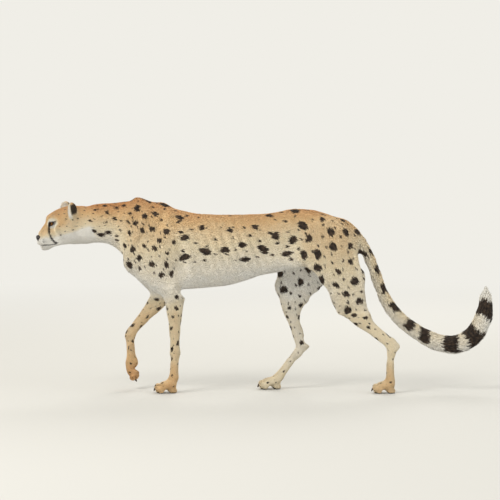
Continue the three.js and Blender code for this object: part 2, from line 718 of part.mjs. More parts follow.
// ---------- Cuts between the pieces ----------
/** A flat cut through a point. Its normal points to the outer piece, further from the trunk. */
const cutAt = (at, normal) => {
  return { at: new THREE.Vector3(...at), normal: new THREE.Vector3(...normal).normalize() };
};
const heading = (from, to) => to.map((v, i) => v - from[i]);
const cuts = {
  nape: cutAt([-494, 0, 676], [-0.96, -0.06, -0.26]),
  neck: cutAt([-372, 0, 652], [-0.93, 0, 0.36]),
  rump: cutAt([592, 0, 600], [1, 0, 0]),
  tail_1: cutAt(between(tailStations[4].at, tailStations[5].at, 0.2), [0.38, 0, -0.92]),
  tail_2: cutAt(tailStations[7].at, [0.86, 0, -0.5]),
  tail_3: cutAt(tailStations[9].at, [0.95, 0, 0.3]),
};
const limbCuts = {};
for (const [name, j] of Object.entries({ left: foreLeft, right: foreRight })) {
  limbCuts[name + "_elbow"] = cutAt(moved(j.elbow, 0, 0, -16), [0, 0, -1]);
  limbCuts[name + "_wrist"] = cutAt(between(j.wrist, j.knuckle, 0.3), heading(j.wrist, j.knuckle));
}
for (const [name, j] of Object.entries({ left: hindLeft, right: hindRight })) {
  limbCuts[name + "_knee"] = cutAt(between(j.knee, j.hock, 0.2), [0, 0, -1]);
  limbCuts[name + "_hock"] = cutAt(between(j.hock, j.ball, 0.42), heading(j.hock, j.ball));
}

const outside = (solid, cut) => {
  const n = cut.normal;
  return solid.trimByPlane([n.x, n.y, n.z], n.dot(cut.at) + SEAM / 2);
};
const inside = (solid, cut) => {
  const n = cut.normal.clone().negate();
  return solid.trimByPlane([n.x, n.y, n.z], n.dot(cut.at) + SEAM / 2);
};

// What parts each shoulder or thigh from the trunk: an oval, and all that hangs under the trunk
// from one x to another, below a height.
const haunches = {
  left_shoulder: { at: [-234, -118, 560], radii: [112, 66, 236], turn: [-9, -16, 0] },
  right_shoulder: { at: [-238, 118, 552], radii: [120, 66, 236], turn: [9, 0, 0] },
  left_thigh: { at: [468, -118, 510], radii: [146, 104, 256], turn: [-6, -8, 0] },
  right_thigh: { at: [412, 118, 520], radii: [176, 104, 250], turn: [6, 30, 0] },
};
haunches.left_shoulder.under = [-430, -40, 404];
haunches.right_shoulder.under = [-430, -40, 404];
haunches.left_thigh.under = [330, 624, 496];
haunches.right_thigh.under = [228, 624, 468];
const haunch = (name, margin) => {
  const h = haunches[name];
  const [from, to, top] = h.under;
  const sideways = 160, down = 340;
  const block = new THREE.BoxGeometry(to - from + 2 * margin, sideways + 2 * margin, down);
  block.translate((from + to) / 2, Math.sign(h.at[1]) * (sideways / 2 + SEAM / 2), top + margin - down / 2);
  return ovalSolid(new THREE.Matrix4(), h.at, h.radii.map((r) => r + margin), h.turn, 12).add(solidOf(block));
};

/** The largest body of a solid. */
const largest = (solid) => solid.decompose().sort((a, b) => b.volume() - a.volume())[0];

// ---------- Materials ----------
const finish = (color, roughness) => new THREE.MeshStandardMaterial({ color, roughness, metalness: 0 });
const coat = finish(0xd9b27c, 0.85);
const eyeball = finish(0x8a5a1e, 0.1);
const leather = finish(0x1d1816, 0.45);
const horn = finish(0x2b2420, 0.4);

// ---------- The pieces ----------
const pieces = new Map();

/** Reads part of the body off a grid between two corners. */
const bodyPart = (low, high, cell) => surface(body, ...[0, 1, 2].map((i) => steps(low[i], high[i], cell[i])));

function buildTrunk() {
  const lengths = [...steps(-440, -200, 27), ...steps(-152, 660, 50)];
  const heights = [...steps(380, 720, 38), ...steps(738, 828, 18)];
  let trunk = surface(body, lengths, steps(-133, 133, 38), heights);
  trunk = inside(inside(trunk, cuts.neck), cuts.rump);
  for (const name in haunches) trunk = trunk.subtract(haunch(name, SEAM / 2));
  pieces.set("trunk", [largest(trunk), coat]);
}

function buildNeck() {
  const neck = bodyPart([-570, -110, 440], [-290, 110, 830], [36, 29, 29]);
  pieces.set("neck", [largest(inside(outside(neck, cuts.neck), cuts.nape)), coat]);
}

function buildTail() {
  const lengths = [
    ["tail_root", [560, -54, 380], [720, 54, 680], [cuts.rump, cuts.tail_1], [26, 20, 30]],
    ["tail_upper", [630, -60, 180], [880, 60, 470], [cuts.tail_1, cuts.tail_2], [26, 22, 30]],
    ["tail_lower", [780, -60, 130], [1040, 60, 310], [cuts.tail_2, cuts.tail_3], [34, 24, 26]],
    ["tail_tip", [930, -66, 134], [1150, 66, 446], [cuts.tail_3], [27, 22, 24]],
  ];
  for (const [name, low, high, [start, end], cell] of lengths) {
    let piece = outside(bodyPart(low, high, cell), start);
    if (end) piece = inside(piece, end);
    for (const side of ["left", "right"]) piece = piece.subtract(haunch(side + "_thigh", SEAM / 2));
    pieces.set(name, [largest(piece), coat]);
  }
}

function buildLeg(side, fore, hind) {
  const sign = side === "left" ? LEFT : RIGHT;
  const across = [8, 132].map((v) => v * sign).sort((a, b) => a - b);
  const keep = (name, solid) => pieces.set(`${side}_${name}`, [largest(solid), coat]);
  const cut = (name) => limbCuts[`${side}_${name}`];
  const own = (name) => haunch(`${side}_${name}`, -SEAM / 2);

  const shoulder = bodyPart([-400, across[0], 350], [-60, across[1], 830], [36, 31, 42]);
  keep("shoulder", inside(shoulder.intersect(own("shoulder")), cut("elbow")));
  const thigh = bodyPart([200, across[0], 260], [640, across[1], 740], [36, 31, 36]);
  keep("thigh", inside(thigh.intersect(own("thigh")), cut("knee")));

  const forearm = bodyPart(...around([fore.elbow, fore.wrist, fore.knuckle], 64), [19, 18, 30]);
  keep("forearm", inside(outside(forearm, cut("elbow")), cut("wrist")));
  const shank = bodyPart(...around([hind.knee, hind.hock, hind.ball], 70), [17, 17, 20]);
  keep("shank", inside(outside(shank, cut("knee")), cut("hock")));
}

/** The two corners of the box around some points, grown by a margin. */
function around(points, margin) {
  const box = new THREE.Box3().setFromPoints(points.map((p) => new THREE.Vector3(...p)));
  box.expandByScalar(margin);
  return [box.min.toArray(), box.max.toArray()];
}

function buildFoot(name, cut, end) {
  const foot = feet[name];
  const heights = [...steps(-14, 36, 11), ...steps(52, end, 18)];
  const grid = [steps(-97, 83, 11), steps(-49.5, 49.5, 9.9), heights];
  const whole = surface(body, ...grid, foot.frame).trimByPlane([0, 0, 1], 0);
  const paw = largest(outside(whole, cut));
  pieces.set(name, [paw, coat]);
  const inWorld = (p) => new THREE.Vector3(...p).applyMatrix4(foot.frame).toArray();
  toeSides.forEach((place, i) => {
    const { tip } = toe(place, foot.width, foot.long);
    const root = moved(tip, 8, 0, 3);
    const point = moved(root, claw.length, 0, -9);
    addClaw(name.replace("paw", "claw") + "_" + (i + 1), inWorld(root), inWorld(point), paw);
  });
}

/** The small claw high on the inner side of a foreleg. */
function buildDewclaw(side, { wrist, knuckle }, paw) {
  const inwards = side === "left" ? RIGHT : LEFT;
  const root = moved(between(wrist, knuckle, 0.5), -6, inwards * 17, 0);
  addClaw(side + "_dewclaw", root, moved(root, -5, inwards * 7, -claw.length), pieces.get(paw)[0]);
}

/** Adds a claw that grows from inside a foot, cut to stand just clear of it. */
function addClaw(name, root, point, foot) {
  const along = new THREE.Vector3(...point).sub(new THREE.Vector3(...root));
  const shape = solidOf(clawGeometry(root, point));
  const nail = largest(shape.subtract(foot));
  pieces.set(name, [nail.translate(along.setLength(SEAM).toArray()), horn]);
}

/** A claw that narrows and curves down from its root to its point. */
function clawGeometry(root, point) {
  const rings = 3, sides = 4;
  const along = new THREE.Vector3(...point).sub(new THREE.Vector3(...root)).normalize();
  const across = new THREE.Vector3(0, 1, 0).addScaledVector(along, -along.y).normalize();
  const back = new THREE.Vector3().crossVectors(across, along);
  const places = [];
  for (let i = 0; i < rings; i++) {
    const t = i / (rings - 1);
    const r = claw.radius * (1 - t) ** 0.6 + 0.5;
    for (let s = 0; s < sides; s++) {
      const angle = (s / sides) * 2 * Math.PI;
      const p = new THREE.Vector3(...between(root, point, t));
      p.addScaledVector(back, Math.sin(t * Math.PI) * -2 - Math.sin(angle) * r);
      places.push(...p.addScaledVector(across, Math.cos(angle) * r * 0.6).toArray());
    }
  }
  places.push(...root, ...point);
  const faces = [];
  for (let i = 0; i < rings - 1; i++)
    for (let s = 0; s < sides; s++) {
      const a = i * sides + s, b = i * sides + ((s + 1) % sides);
      faces.push(a, b, a + sides, b, b + sides, a + sides);
    }
  const start = rings * sides, end = start + 1;
  for (let s = 0; s < sides; s++) {
    const next = (s + 1) % sides;
    faces.push(start, next, s, end, (rings - 1) * sides + s, (rings - 1) * sides + next);
  }
  const geometry = new THREE.BufferGeometry();
  geometry.setAttribute("position", new THREE.Float32BufferAttribute(places, 3));
  return geometry.setIndex(faces);
}

function buildHead() {
  const lengths = [...steps(-44, 98, 20), ...steps(111, 232, 11)];
  const whole = surface(body, lengths, steps(-97.75, 97.75, 11.5), steps(-88, 128, 13), headFrame);
  let skull = outside(whole, cuts.nape);
  for (const [side, s] of [["left", 1], ["right", -1]]) {
    const at = [eye.forward, s * eye.side, eye.up];
    const ball = (grow) => ovalSolid(headFrame, at, Array(3).fill(eye.radius + grow), [0, 0, 0], 12);
    skull = skull.subtract(ball(SEAM));
    pieces.set(side + "_eye", [ball(0), eyeball]);
  }
  const noseAt = [nose.forward, 0, nose.up];
  const noseSolid = (grow) =>
    ovalSolid(headFrame, noseAt, nose.radii.map((r) => r + grow), [0, nose.tilt, 0], 12);
  skull = skull.subtract(noseSolid(SEAM));
  pieces.set("nose", [noseSolid(0), leather]);
  for (const [side, s] of [["left", 1], ["right", -1]]) {
    const turn = [s * -24, -14, s * -34];
    const at = [ear.forward, s * ear.side, ear.up];
    const outer = ovalSolid(headFrame, at, [ear.depth, ear.width, ear.height], turn, 12);
    const shift = new THREE.Vector3(ear.wall + 5, 0, 4);
    shift.applyEuler(new THREE.Euler(...turn.map(degrees), "ZYX"));
    const inner = ovalSolid(
      headFrame,
      moved(at, shift.x, shift.y, shift.z),
      [ear.depth, ear.width - ear.wall, ear.height - ear.wall],
      turn,
      12,
    );
    let cup = outer.subtract(inner);
    for (const step of [[0, 0, SEAM], [0, -s * SEAM, 0], [-SEAM, 0, 0]])
      cup = cup.subtract(skull.translate(step));
    pieces.set(side + "_ear", [largest(cup), coat]);
  }
  pieces.set("head", [largest(skull), coat]);
}

buildTrunk();
buildNeck();
buildTail();
buildLeg("left", foreLeft, hindLeft);
buildLeg("right", foreRight, hindRight);
buildFoot("left_forepaw", limbCuts.left_wrist, 148);
buildFoot("right_forepaw", limbCuts.right_wrist, 104);
buildDewclaw("left", foreLeft, "left_forepaw");
buildDewclaw("right", foreRight, "right_forepaw");
buildFoot("left_hind_paw", limbCuts.left_hock, 150);
buildFoot("right_hind_paw", limbCuts.right_hock, 150);
buildHead();

const cheetah = new THREE.Group();
cheetah.name = "cheetah";
for (const [name, [solid, material]] of pieces) {
  const mesh = new THREE.Mesh(geometryOf(solid), material);
  mesh.name = name;
  cheetah.add(mesh);
}

// The origin is on the floor, under the middle of the animal's box.
const extent = new THREE.Box3().setFromObject(cheetah);
cheetah.position.set(-(extent.min.x + extent.max.x) / 2, -(extent.min.y + extent.max.y) / 2, -extent.min.z);

export default cheetah;
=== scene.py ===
"""A life-size cheetah in its walking stance, dressed for its looks.

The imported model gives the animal's outline, out to the tips of its coat. One smooth skin, finely
shaped at the head and the feet, takes the place of its pieces of flesh. Fur, eyes, nose, claws and
whiskers are built over it. Metres, +Z up; the head is towards -X and the animal's left towards -Y.
"""

import json
import logging
import math
from collections.abc import Callable, Sequence
from dataclasses import dataclass, field
from enum import Enum

import bpy
import numpy as np
from mathutils import Euler, Matrix, Vector
from mathutils.bvhtree import BVHTree

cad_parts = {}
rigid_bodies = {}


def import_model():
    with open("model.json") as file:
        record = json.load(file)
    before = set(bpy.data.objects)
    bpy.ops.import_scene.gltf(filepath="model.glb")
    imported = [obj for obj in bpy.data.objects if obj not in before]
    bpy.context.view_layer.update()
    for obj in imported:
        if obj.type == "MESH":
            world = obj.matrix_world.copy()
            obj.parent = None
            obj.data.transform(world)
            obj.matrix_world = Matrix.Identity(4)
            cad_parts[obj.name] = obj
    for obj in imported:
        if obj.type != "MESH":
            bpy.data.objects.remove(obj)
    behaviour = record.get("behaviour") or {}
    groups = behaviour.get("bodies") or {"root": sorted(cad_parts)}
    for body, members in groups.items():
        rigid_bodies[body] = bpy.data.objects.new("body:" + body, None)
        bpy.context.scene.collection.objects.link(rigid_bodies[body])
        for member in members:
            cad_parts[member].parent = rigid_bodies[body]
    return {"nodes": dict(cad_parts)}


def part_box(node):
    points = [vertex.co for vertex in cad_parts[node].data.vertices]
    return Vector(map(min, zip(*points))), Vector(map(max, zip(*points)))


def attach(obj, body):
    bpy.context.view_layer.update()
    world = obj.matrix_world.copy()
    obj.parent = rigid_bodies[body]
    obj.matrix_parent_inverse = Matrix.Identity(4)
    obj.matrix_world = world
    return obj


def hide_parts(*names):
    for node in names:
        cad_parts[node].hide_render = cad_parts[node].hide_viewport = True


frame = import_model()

log = logging.getLogger("cheetah")
MM = 0.001
Array = np.ndarray
Object = bpy.types.Object
Mesh = bpy.types.Mesh
Socket = bpy.types.NodeSocket
Material = bpy.types.Material
Pair = tuple[float, float]
Triple = tuple[float, float, float]
Line = tuple[Triple, ...]  # points in the head's axes, in millimetres
Colour = tuple[float, float, float, float]


class Side(Enum):
    """A side of the animal, with the sign of y in the head's own frame."""

    LEFT = 1
    RIGHT = -1

    def node(self, part: str) -> str:
        """Name of this side's node of a part."""
        return f"{self.name.lower()}_{part}"


# ---------- Small tools for objects and meshes ----------
def pick(*objects: Object) -> None:
    """Select only these objects, the first of them active.

    Args:
        objects: what the next operator works on.
    """
    bpy.ops.object.select_all(action="DESELECT")
    for one in objects:
        one.select_set(True)
    bpy.context.view_layer.objects.active = objects[0]


def apply_modifier(target: Object, kind: str, **settings: object) -> None:
    """Add a modifier to an object, set it and apply it.

    Args:
        target: the object to change.
        kind: Blender's name of the modifier type.
        settings: values of the modifier's own settings.
    """
    pick(target)
    modifier = target.modifiers.new(kind.title(), kind)
    for name, value in settings.items():
        setattr(modifier, name, value)
    bpy.ops.object.modifier_apply(modifier=modifier.name)


def joined(name: str, parts: Sequence[Object]) -> Object:
    """Join several objects into the first one.

    Args:
        name: name of the joined object.
        parts: the objects to join.

    Returns:
        The joined object.
    """
    pick(*parts)
    bpy.ops.object.join()
    whole = bpy.context.view_layer.objects.active
    whole.name = name
    whole.data.name = name
    return whole


def fixed_in_place(target: Object) -> Object:
    """Put an object's place, turn and size into its mesh.

    Args:
        target: the object to settle at the origin.

    Returns:
        The same object.
    """
    pick(target)
    bpy.ops.object.transform_apply(location=True, rotation=True, scale=True)
    return target


def with_edit(target: Object, *steps: Callable[[], object]) -> None:
    """Run operators in edit mode with the whole mesh selected.

    Args:
        target: the object to edit.
        steps: functions that each call one operator.
    """
    pick(target)
    bpy.ops.object.mode_set(mode="EDIT")
    bpy.ops.mesh.select_all(action="SELECT")
    for step in steps:
        step()
    bpy.ops.object.mode_set(mode="OBJECT")


def rows_of(items: Sequence[object], name: str, width: int = 1, kind: type = float) -> Array:
    """Numbers that a mesh keeps for each item of one of its lists.

    Args:
        items: the list, such as a mesh's corners or edges.
        name: Blender's name of the numbers.
        width: how many there are for each item.
        kind: their type.

    Returns:
        One row for each item, or one number where the width is 1.
    """
    flat = np.empty(len(items) * width, dtype=kind)
    items.foreach_get(name, flat)
    return flat.reshape(-1, width) if width > 1 else flat


def points_of(mesh: Mesh) -> Array:
    """Corner places of a mesh, one row each."""
    return rows_of(mesh.vertices, "co", 3)


def normals_of(mesh: Mesh) -> Array:
    """Corner normals of a mesh, one row each."""
    return rows_of(mesh.vertices, "normal", 3)


def move_points(mesh: Mesh, points: Array) -> None:
    """Give a mesh new corner places."""
    mesh.vertices.foreach_set("co", points.ravel())
    mesh.update()


def push(mesh: Mesh, heights: Array | float) -> None:
    """Move corners along their normals, one height for all or one for each."""
    move_points(mesh, points_of(mesh) + normals_of(mesh) * np.reshape(heights, (-1, 1)))


def unit(vectors: Array) -> Array:
    """Vectors brought to length one, along the last axis."""
    return vectors / np.maximum(np.linalg.norm(vectors, axis=-1, keepdims=True), 1e-12)


def ramp(low: float, high: float, values: Array) -> Array:
    """A smooth step from 0 at low to 1 at high.

    Args:
        low: value where the step starts.
        high: value where it ends, which may be below low.
        values: where to read it.

    Returns:
        The step's height at each value.
    """
    t = np.clip((values - low) / (high - low), 0.0, 1.0)
    return t * t * (3 - 2 * t)


def store(mesh: Mesh, name: str, values: Array) -> None:
    """Keep one number for each corner of a mesh under a name.

    Args:
        mesh: the mesh to write on.
        name: name of the attribute.
        values: the numbers, in the corners' order.
    """
    attribute = mesh.attributes.new(name, "FLOAT", "POINT")
    attribute.data.foreach_set("value", np.ascontiguousarray(values, dtype=np.float32))


def shaded(target: Object) -> Object:
    """Shade an object smoothly and return it."""
    pick(target)
    bpy.ops.object.shade_smooth()
    return target


def placed(name: str, data: bpy.types.ID) -> Object:
    """Put a mesh or curve into the scene as a new object and return it."""
    made = bpy.data.objects.new(name, data)
    bpy.context.scene.collection.objects.link(made)
    return made


def turned(degrees: Sequence[float], sign: int = 1) -> Matrix:
    """A turn about X, Y and Z, mirrored to the other side of the head where the sign is -1."""
    x, y, z = (math.radians(a) for a in degrees)
    return Euler((x * sign, y, z * sign), "XYZ").to_matrix()


def axes_at(origin: Sequence[float], x: Vector, y: Vector, z: Vector) -> Matrix:
    """The axes with this origin and these directions."""
    return Matrix.Translation(origin) @ Matrix((x, y, z)).transposed().to_4x4()


def pointed(origin: Vector, along: Vector) -> Matrix:
    """Axes with this origin and X along a direction, Z as upright as it can be."""
    return Matrix.Translation(origin) @ along.to_track_quat("X", "Z").to_matrix().to_4x4()


class Web:
    """The edges of a mesh, for spreading values from corner to corner."""

    def __init__(self, mesh: Mesh) -> None:
        """Read a mesh's edges.

        Args:
            mesh: the mesh whose corners are linked.
        """
        edges = rows_of(mesh.edges, "vertices", 2, np.int64)
        self.count = len(mesh.vertices)
        self.ends = np.concatenate([edges[:, 0], edges[:, 1]])
        self.others = np.concatenate([edges[:, 1], edges[:, 0]])
        self.degree = np.maximum(np.bincount(self.ends, minlength=self.count), 1)

    def average(self, values: Array) -> Array:
        """Mean of each corner's neighbours.

        Args:
            values: one row or number for each corner.

        Returns:
            The means, in the same shape.
        """
        if values.ndim == 1:
            return np.bincount(self.ends, values[self.others], self.count) / self.degree
        return np.stack([self.average(column) for column in values.T], axis=1)

    def blur(self, values: Array, rounds: int, share: Array | float = 0.5) -> Array:
        """Spread values over the mesh.

        Args:
            values: one row or number for each corner.
            rounds: how many times each corner moves towards its neighbours' mean.
            share: how far it moves each time, for all corners or for each.

        Returns:
            The spread values.
        """
        if isinstance(share, np.ndarray) and values.ndim == 2:
            share = share[:, None]
        for _ in range(rounds):
            values = values + share * (self.average(values) - values)
        return values

    def even_out(self, points: Array, rounds: int, share: Array | float = 0.5) -> Array:
        """Smooth a form without thinning it: what a blur takes off a wide form is given back.

        Args:
            points: the corners' places.
            rounds: strength of the smoothing.
            share: how far a corner moves each round, for all corners or for each.

        Returns:
            The smoothed places.
        """
        smooth = self.blur(points, rounds, share)
        return smooth - self.blur(smooth - points, rounds, share)


# ---------- The pieces of flesh ----------
@dataclass(frozen=True)
class Hide:
    """What the skin and coat are like over one kind of piece. Lengths in metres."""

    smoothing: float  # share of the strongest smoothing
    depth: float  # how far the skin lies inside the outline
    hair: float  # length of a tuft
    width: float  # width of a tuft
    lift: float  # angle at which a tuft leaves the skin, in degrees
    spots: float  # distance between the middles of large spots
    spot: float  # their radius
    detail: float  # 1 keeps the finest mesh


HIDES = {
    "trunk": Hide(1.0, 0.0030, 0.0145, 0.0030, 8, 0.062, 0.0185, 0.0),
    "neck": Hide(0.6, 0.0030, 0.0140, 0.0029, 9, 0.036, 0.0080, 0.1),
    "head": Hide(0.10, 0.0015, 0.0065, 0.0018, 8, 0.022, 0.0028, 1.0),
    "shoulder": Hide(0.6, 0.0025, 0.0125, 0.0028, 8, 0.040, 0.0115, 0.0),
    "thigh": Hide(0.6, 0.0030, 0.0135, 0.0029, 8, 0.054, 0.0160, 0.0),
    "forearm": Hide(0.22, 0.0015, 0.0090, 0.0024, 8, 0.036, 0.0085, 0.2),
    "shank": Hide(0.22, 0.0015, 0.0090, 0.0024, 8, 0.040, 0.0100, 0.2),
    "paw": Hide(0.05, 0.0010, 0.0055, 0.0019, 7, 0.030, 0.0040, 0.7),
    "tail": Hide(0.26, 0.0050, 0.0200, 0.0036, 13, 0.046, 0.0150, 0.0),
    "ear": Hide(0.05, 0.0005, 0.0060, 0.0017, 10, 0.030, 0.0030, 1.0),
}


def kind_of(node: str) -> str:
    """Kind of hide of a flesh node, from its name."""
    return next(kind for kind in HIDES if kind in node)


EARS = [side.node("ear") for side in Side]
LIMB = ("shoulder", "forearm", "forepaw", "thigh", "shank", "hind_paw")
LEGS = [side.node(part) for side in Side for part in LIMB]
TAIL = ["tail_root", "tail_upper", "tail_lower", "tail_tip"]
LIFTED_PAW = "right_forepaw"
FLESH = ["trunk", "neck", "head", *LEGS, *TAIL]


class Outline:
    """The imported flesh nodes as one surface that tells, for any point, which node is nearest."""

    def __init__(self, nodes: Sequence[str]) -> None:
        """Gather the nodes' faces.

        Args:
            nodes: names of the flesh nodes.
        """
        self.nodes = list(nodes)
        self.points = {}
        corners, faces, self.owner = [], [], []
        for number, name in enumerate(self.nodes):
            mesh = frame["nodes"][name].data
            start = len(corners)
            self.points[name] = points_of(mesh)
            corners.extend(self.points[name].tolist())
            faces.extend([start + v for v in face.vertices] for face in mesh.polygons)
            self.owner.extend([number] * len(mesh.polygons))
        self.tree = BVHTree.FromPolygons(corners, faces)
        self.owner = np.array(self.owner)

    def owners(self, points: Array) -> Array:
        """Number of the nearest node for each point."""
        near = [self.tree.find_nearest(p)[2] for p in points.tolist()]
        return self.owner[near]

    def table(self, measure: str, owners: Array) -> Array:
        """A measure of the hide, by its name in Hide, for each corner from its node's number."""
        listed = np.array([getattr(HIDES[kind_of(n)], measure) for n in self.nodes])
        return listed[owners]


class CentreLine:
    """A line through the middle of one or more long nodes, from the body outwards."""

    def __init__(self, outline: Outline, nodes: Sequence[str], start: Vector, slices: int = 4) -> None:
        """Find the line.

        Args:
            outline: the flesh nodes.
            nodes: names of the nodes that the line runs through, from the body outwards.
            start: a point near the line's beginning.
            slices: how many points each node gives.
        """
        line = [np.array(start)]
        for name in nodes:
            points = outline.points[name]
            middle = points.mean(axis=0)
            axis = np.linalg.svd(points - middle, full_matrices=False)[2][0]
            axis = axis * np.sign(np.dot(middle - line[-1], axis))
            along = (points - middle) @ axis
            edges = np.linspace(along.min(), along.max(), slices + 1)
            for low, high in zip(edges[:-1], edges[1:]):
                inside = points[(along >= low) & (along <= high)]
                if len(inside):
                    line.append((inside.min(axis=0) + inside.max(axis=0)) / 2)
        self.points = np.array(line[1:])
        self.steps = np.diff(self.points, axis=0)
        self.lengths = np.linalg.norm(self.steps, axis=1)
        self.starts = np.concatenate([[0.0], np.cumsum(self.lengths)])

    def nearest(self, points: Array) -> tuple[Array, Array, Array]:
        """Where points lie along the line.

        Args:
            points: the places to look up.

        Returns:
            Distance along the line, nearest point on it, and the line's direction there.
        """
        best = np.full(len(points), np.inf)
        along = np.zeros(len(points))
        foot = np.zeros((len(points), 3))
        for a, step, length, start in zip(self.points, self.steps, self.lengths, self.starts):
            t = np.clip((points - a) @ step / length**2, 0.0, 1.0)
            spot = a + t[:, None] * step
            distance = np.linalg.norm(points - spot, axis=1)
            closer = distance < best
            best = np.where(closer, distance, best)
            along = np.where(closer, start + t * length, along)
            foot = np.where(closer[:, None], spot, foot)
        middles = self.starts[:-1] + self.lengths / 2
        heading = np.stack([np.interp(along, middles, c) for c in unit(self.steps).T], axis=1)
        return along, foot, unit(heading)


class HeadFrame:
    """The head's own axes: forward to the nose, to the animal's left, and up, from the nape."""

    EYE = (0.131, 0.033, 0.044)  # the left eye in these axes
    NOSE = (0.204, 0.0, 0.004)  # the nose

    def __init__(self) -> None:
        """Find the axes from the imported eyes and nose."""
        middle = {n: sum(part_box(n), Vector()) / 2 for n in ("left_eye", "right_eye", "nose")}
        between = (middle["left_eye"] + middle["right_eye"]) / 2
        left = (middle["left_eye"] - middle["right_eye"]).normalized()
        to_nose = middle["nose"] - between
        ahead, drop = self.NOSE[0] - self.EYE[0], self.NOSE[2] - self.EYE[2]
        across = left.cross(to_nose)
        forward = (to_nose * ahead + across * drop).normalized()
        up = forward.cross(left)
        origin = between - forward * self.EYE[0] - up * self.EYE[2]
        self.matrix = axes_at(origin, forward, left, up)
        self.axes = np.array(self.matrix.to_3x3())
        self.origin = np.array(origin)

    def place(self, forward: float, left: float, up: float) -> Vector:
        """A point given in the head's axes, in the model's."""
        return self.matrix @ Vector((forward, left, up))

    def local(self, points: Array) -> Array:
        """Points of the model in the head's axes."""
        return (points - self.origin) @ self.axes

    def direction(self, forward: float, left: float, up: float) -> Vector:
        """A direction given in the head's axes, in the model's."""
        return (self.matrix.to_3x3() @ Vector((forward, left, up))).normalized()


# ---------- Skin ----------
@dataclass(frozen=True)
class Lump:
    """An oval mass that gives a form to the skin, in the head's axes. Lengths in millimetres."""

    at: Triple
    radii: Triple
    turn: Triple = (0.0, 0.0, 0.0)
    paired: bool = True

    def build(self, matrix: Matrix, side: Side = Side.LEFT, smooth: int = 24) -> Object:
        """Add the mass as an object.

        Args:
            matrix: the axes that the lump is given in.
            side: which side of the animal a paired lump is on.
            smooth: how many sides the ball has.

        Returns:
            The new object, settled at the origin.
        """
        bpy.ops.mesh.primitive_uv_sphere_add(segments=smooth, ring_count=smooth // 2, radius=1)
        ball = bpy.context.view_layer.objects.active
        sign = side.value
        turn = turned(self.turn, sign).to_4x4()
        place = Matrix.Translation(Vector((self.at[0], self.at[1] * sign, self.at[2])) * MM)
        size = Matrix.Diagonal(Vector(self.radii) * MM).to_4x4()
        ball.matrix_world = matrix @ place @ turn @ size
        return fixed_in_place(ball)

    def both(self, matrix: Matrix, smooth: int = 24) -> list[Object]:
        """Add the mass on both sides, or once where it isn't paired."""
        sides = list(Side) if self.paired else [Side.LEFT]
        return [self.build(matrix, side, smooth) for side in sides]


@dataclass
class Ear:
    """A short round ear: an oval cup, open forwards and outwards."""

    at: Triple = (50, 54, 66)
    radii: Triple = (18, 29.5, 36)
    wall: float = 4.6
    shift: Pair = (2.2, 0.6)  # how far the hollow lies forwards and up, in walls
    turn: Triple = (-24, -14, -34)
    sides: int = 40

    def build(self, matrix: Matrix, side: Side) -> Object:
        """Make one ear.

        Args:
            matrix: the head's axes.
            side: which ear.

        Returns:
            The ear as a closed cup.
        """
        cup = Lump(self.at, self.radii, self.turn).build(matrix, side, self.sides)
        ahead, up = self.shift
        shift = turned(self.turn) @ Vector((self.wall * ahead, 0, self.wall * up))
        inner_at = tuple(a + b for a, b in zip(self.at, shift))
        inner_radii = (self.radii[0], self.radii[1] - self.wall, self.radii[2] - self.wall)
        hollow = Lump(inner_at, inner_radii, self.turn).build(matrix, side, self.sides)
        apply_modifier(cup, "BOOLEAN", operation="DIFFERENCE", object=hollow, solver="EXACT")
        bpy.data.objects.remove(hollow)
        return cup


@dataclass
class Face:
    """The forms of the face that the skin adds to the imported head. Millimetres."""

    lids: Lump = Lump((131, 33, 44), (19.3, 19.3, 19.3))
    orbit: Lump = Lump((116, 26, 41), (38, 24.5, 28))
    cheek: Lump = Lump((84, 34, 2), (56, 24, 40), (0, -10, 8))
    side: Lump = Lump((150, 24, 2), (44, 18, 24), (0, 12, -14))
    pad: Lump = Lump((188, 17.0, -12.5), (23.5, 17.5, 17.5), (0, 8, -8))
    bridge: Lump = Lump((185, 0, 9), (24, 15, 9), (0, 24, 0), paired=False)
    chin: Lump = Lump((186, 0, -41), (21, 17, 12.5), (0, -10, 0), paired=False)

    def build(self, matrix: Matrix) -> list[Object]:
        """Make all the masses of the face.

        Args:
            matrix: the head's axes.

        Returns:
            The masses as objects.
        """
        lumps = (self.lids, self.orbit, self.cheek, self.side, self.pad, self.bridge, self.chin)
        return [mass for lump in lumps for mass in lump.both(matrix)]


@dataclass(frozen=True)
class Form:
    """A soft swelling of the side of the body, or a hollow where its height is below zero."""

    part: str  # the node that it is placed by
    at: Pair  # its middle, as shares of that node's length and height
    radii: Pair  # half its width and half its height, in metres
    turn: float  # how far its upper end leans to the tail, in degrees
    height: float  # how far it stands out, in metres

    def rise(self, points: Array, side: Side) -> Array:
        """How far the form lifts points of one side.

        Args:
            points: the places.
            side: the side of the animal.

        Returns:
            One height for each place.
        """
        low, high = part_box(self.part if self.part in frame["nodes"] else side.node(self.part))
        x = points[:, 0] - (low.x + (high.x - low.x) * self.at[0])
        z = points[:, 2] - (low.z + (high.z - low.z) * self.at[1])
        angle = math.radians(self.turn)
        across = x * math.cos(angle) - z * math.sin(angle)
        upward = x * math.sin(angle) + z * math.cos(angle)
        away = (across / self.radii[0]) ** 2 + (upward / self.radii[1]) ** 2
        near = (points[:, 1] * -side.value > 0.0).astype(float)
        return self.height * np.exp(-away) * near


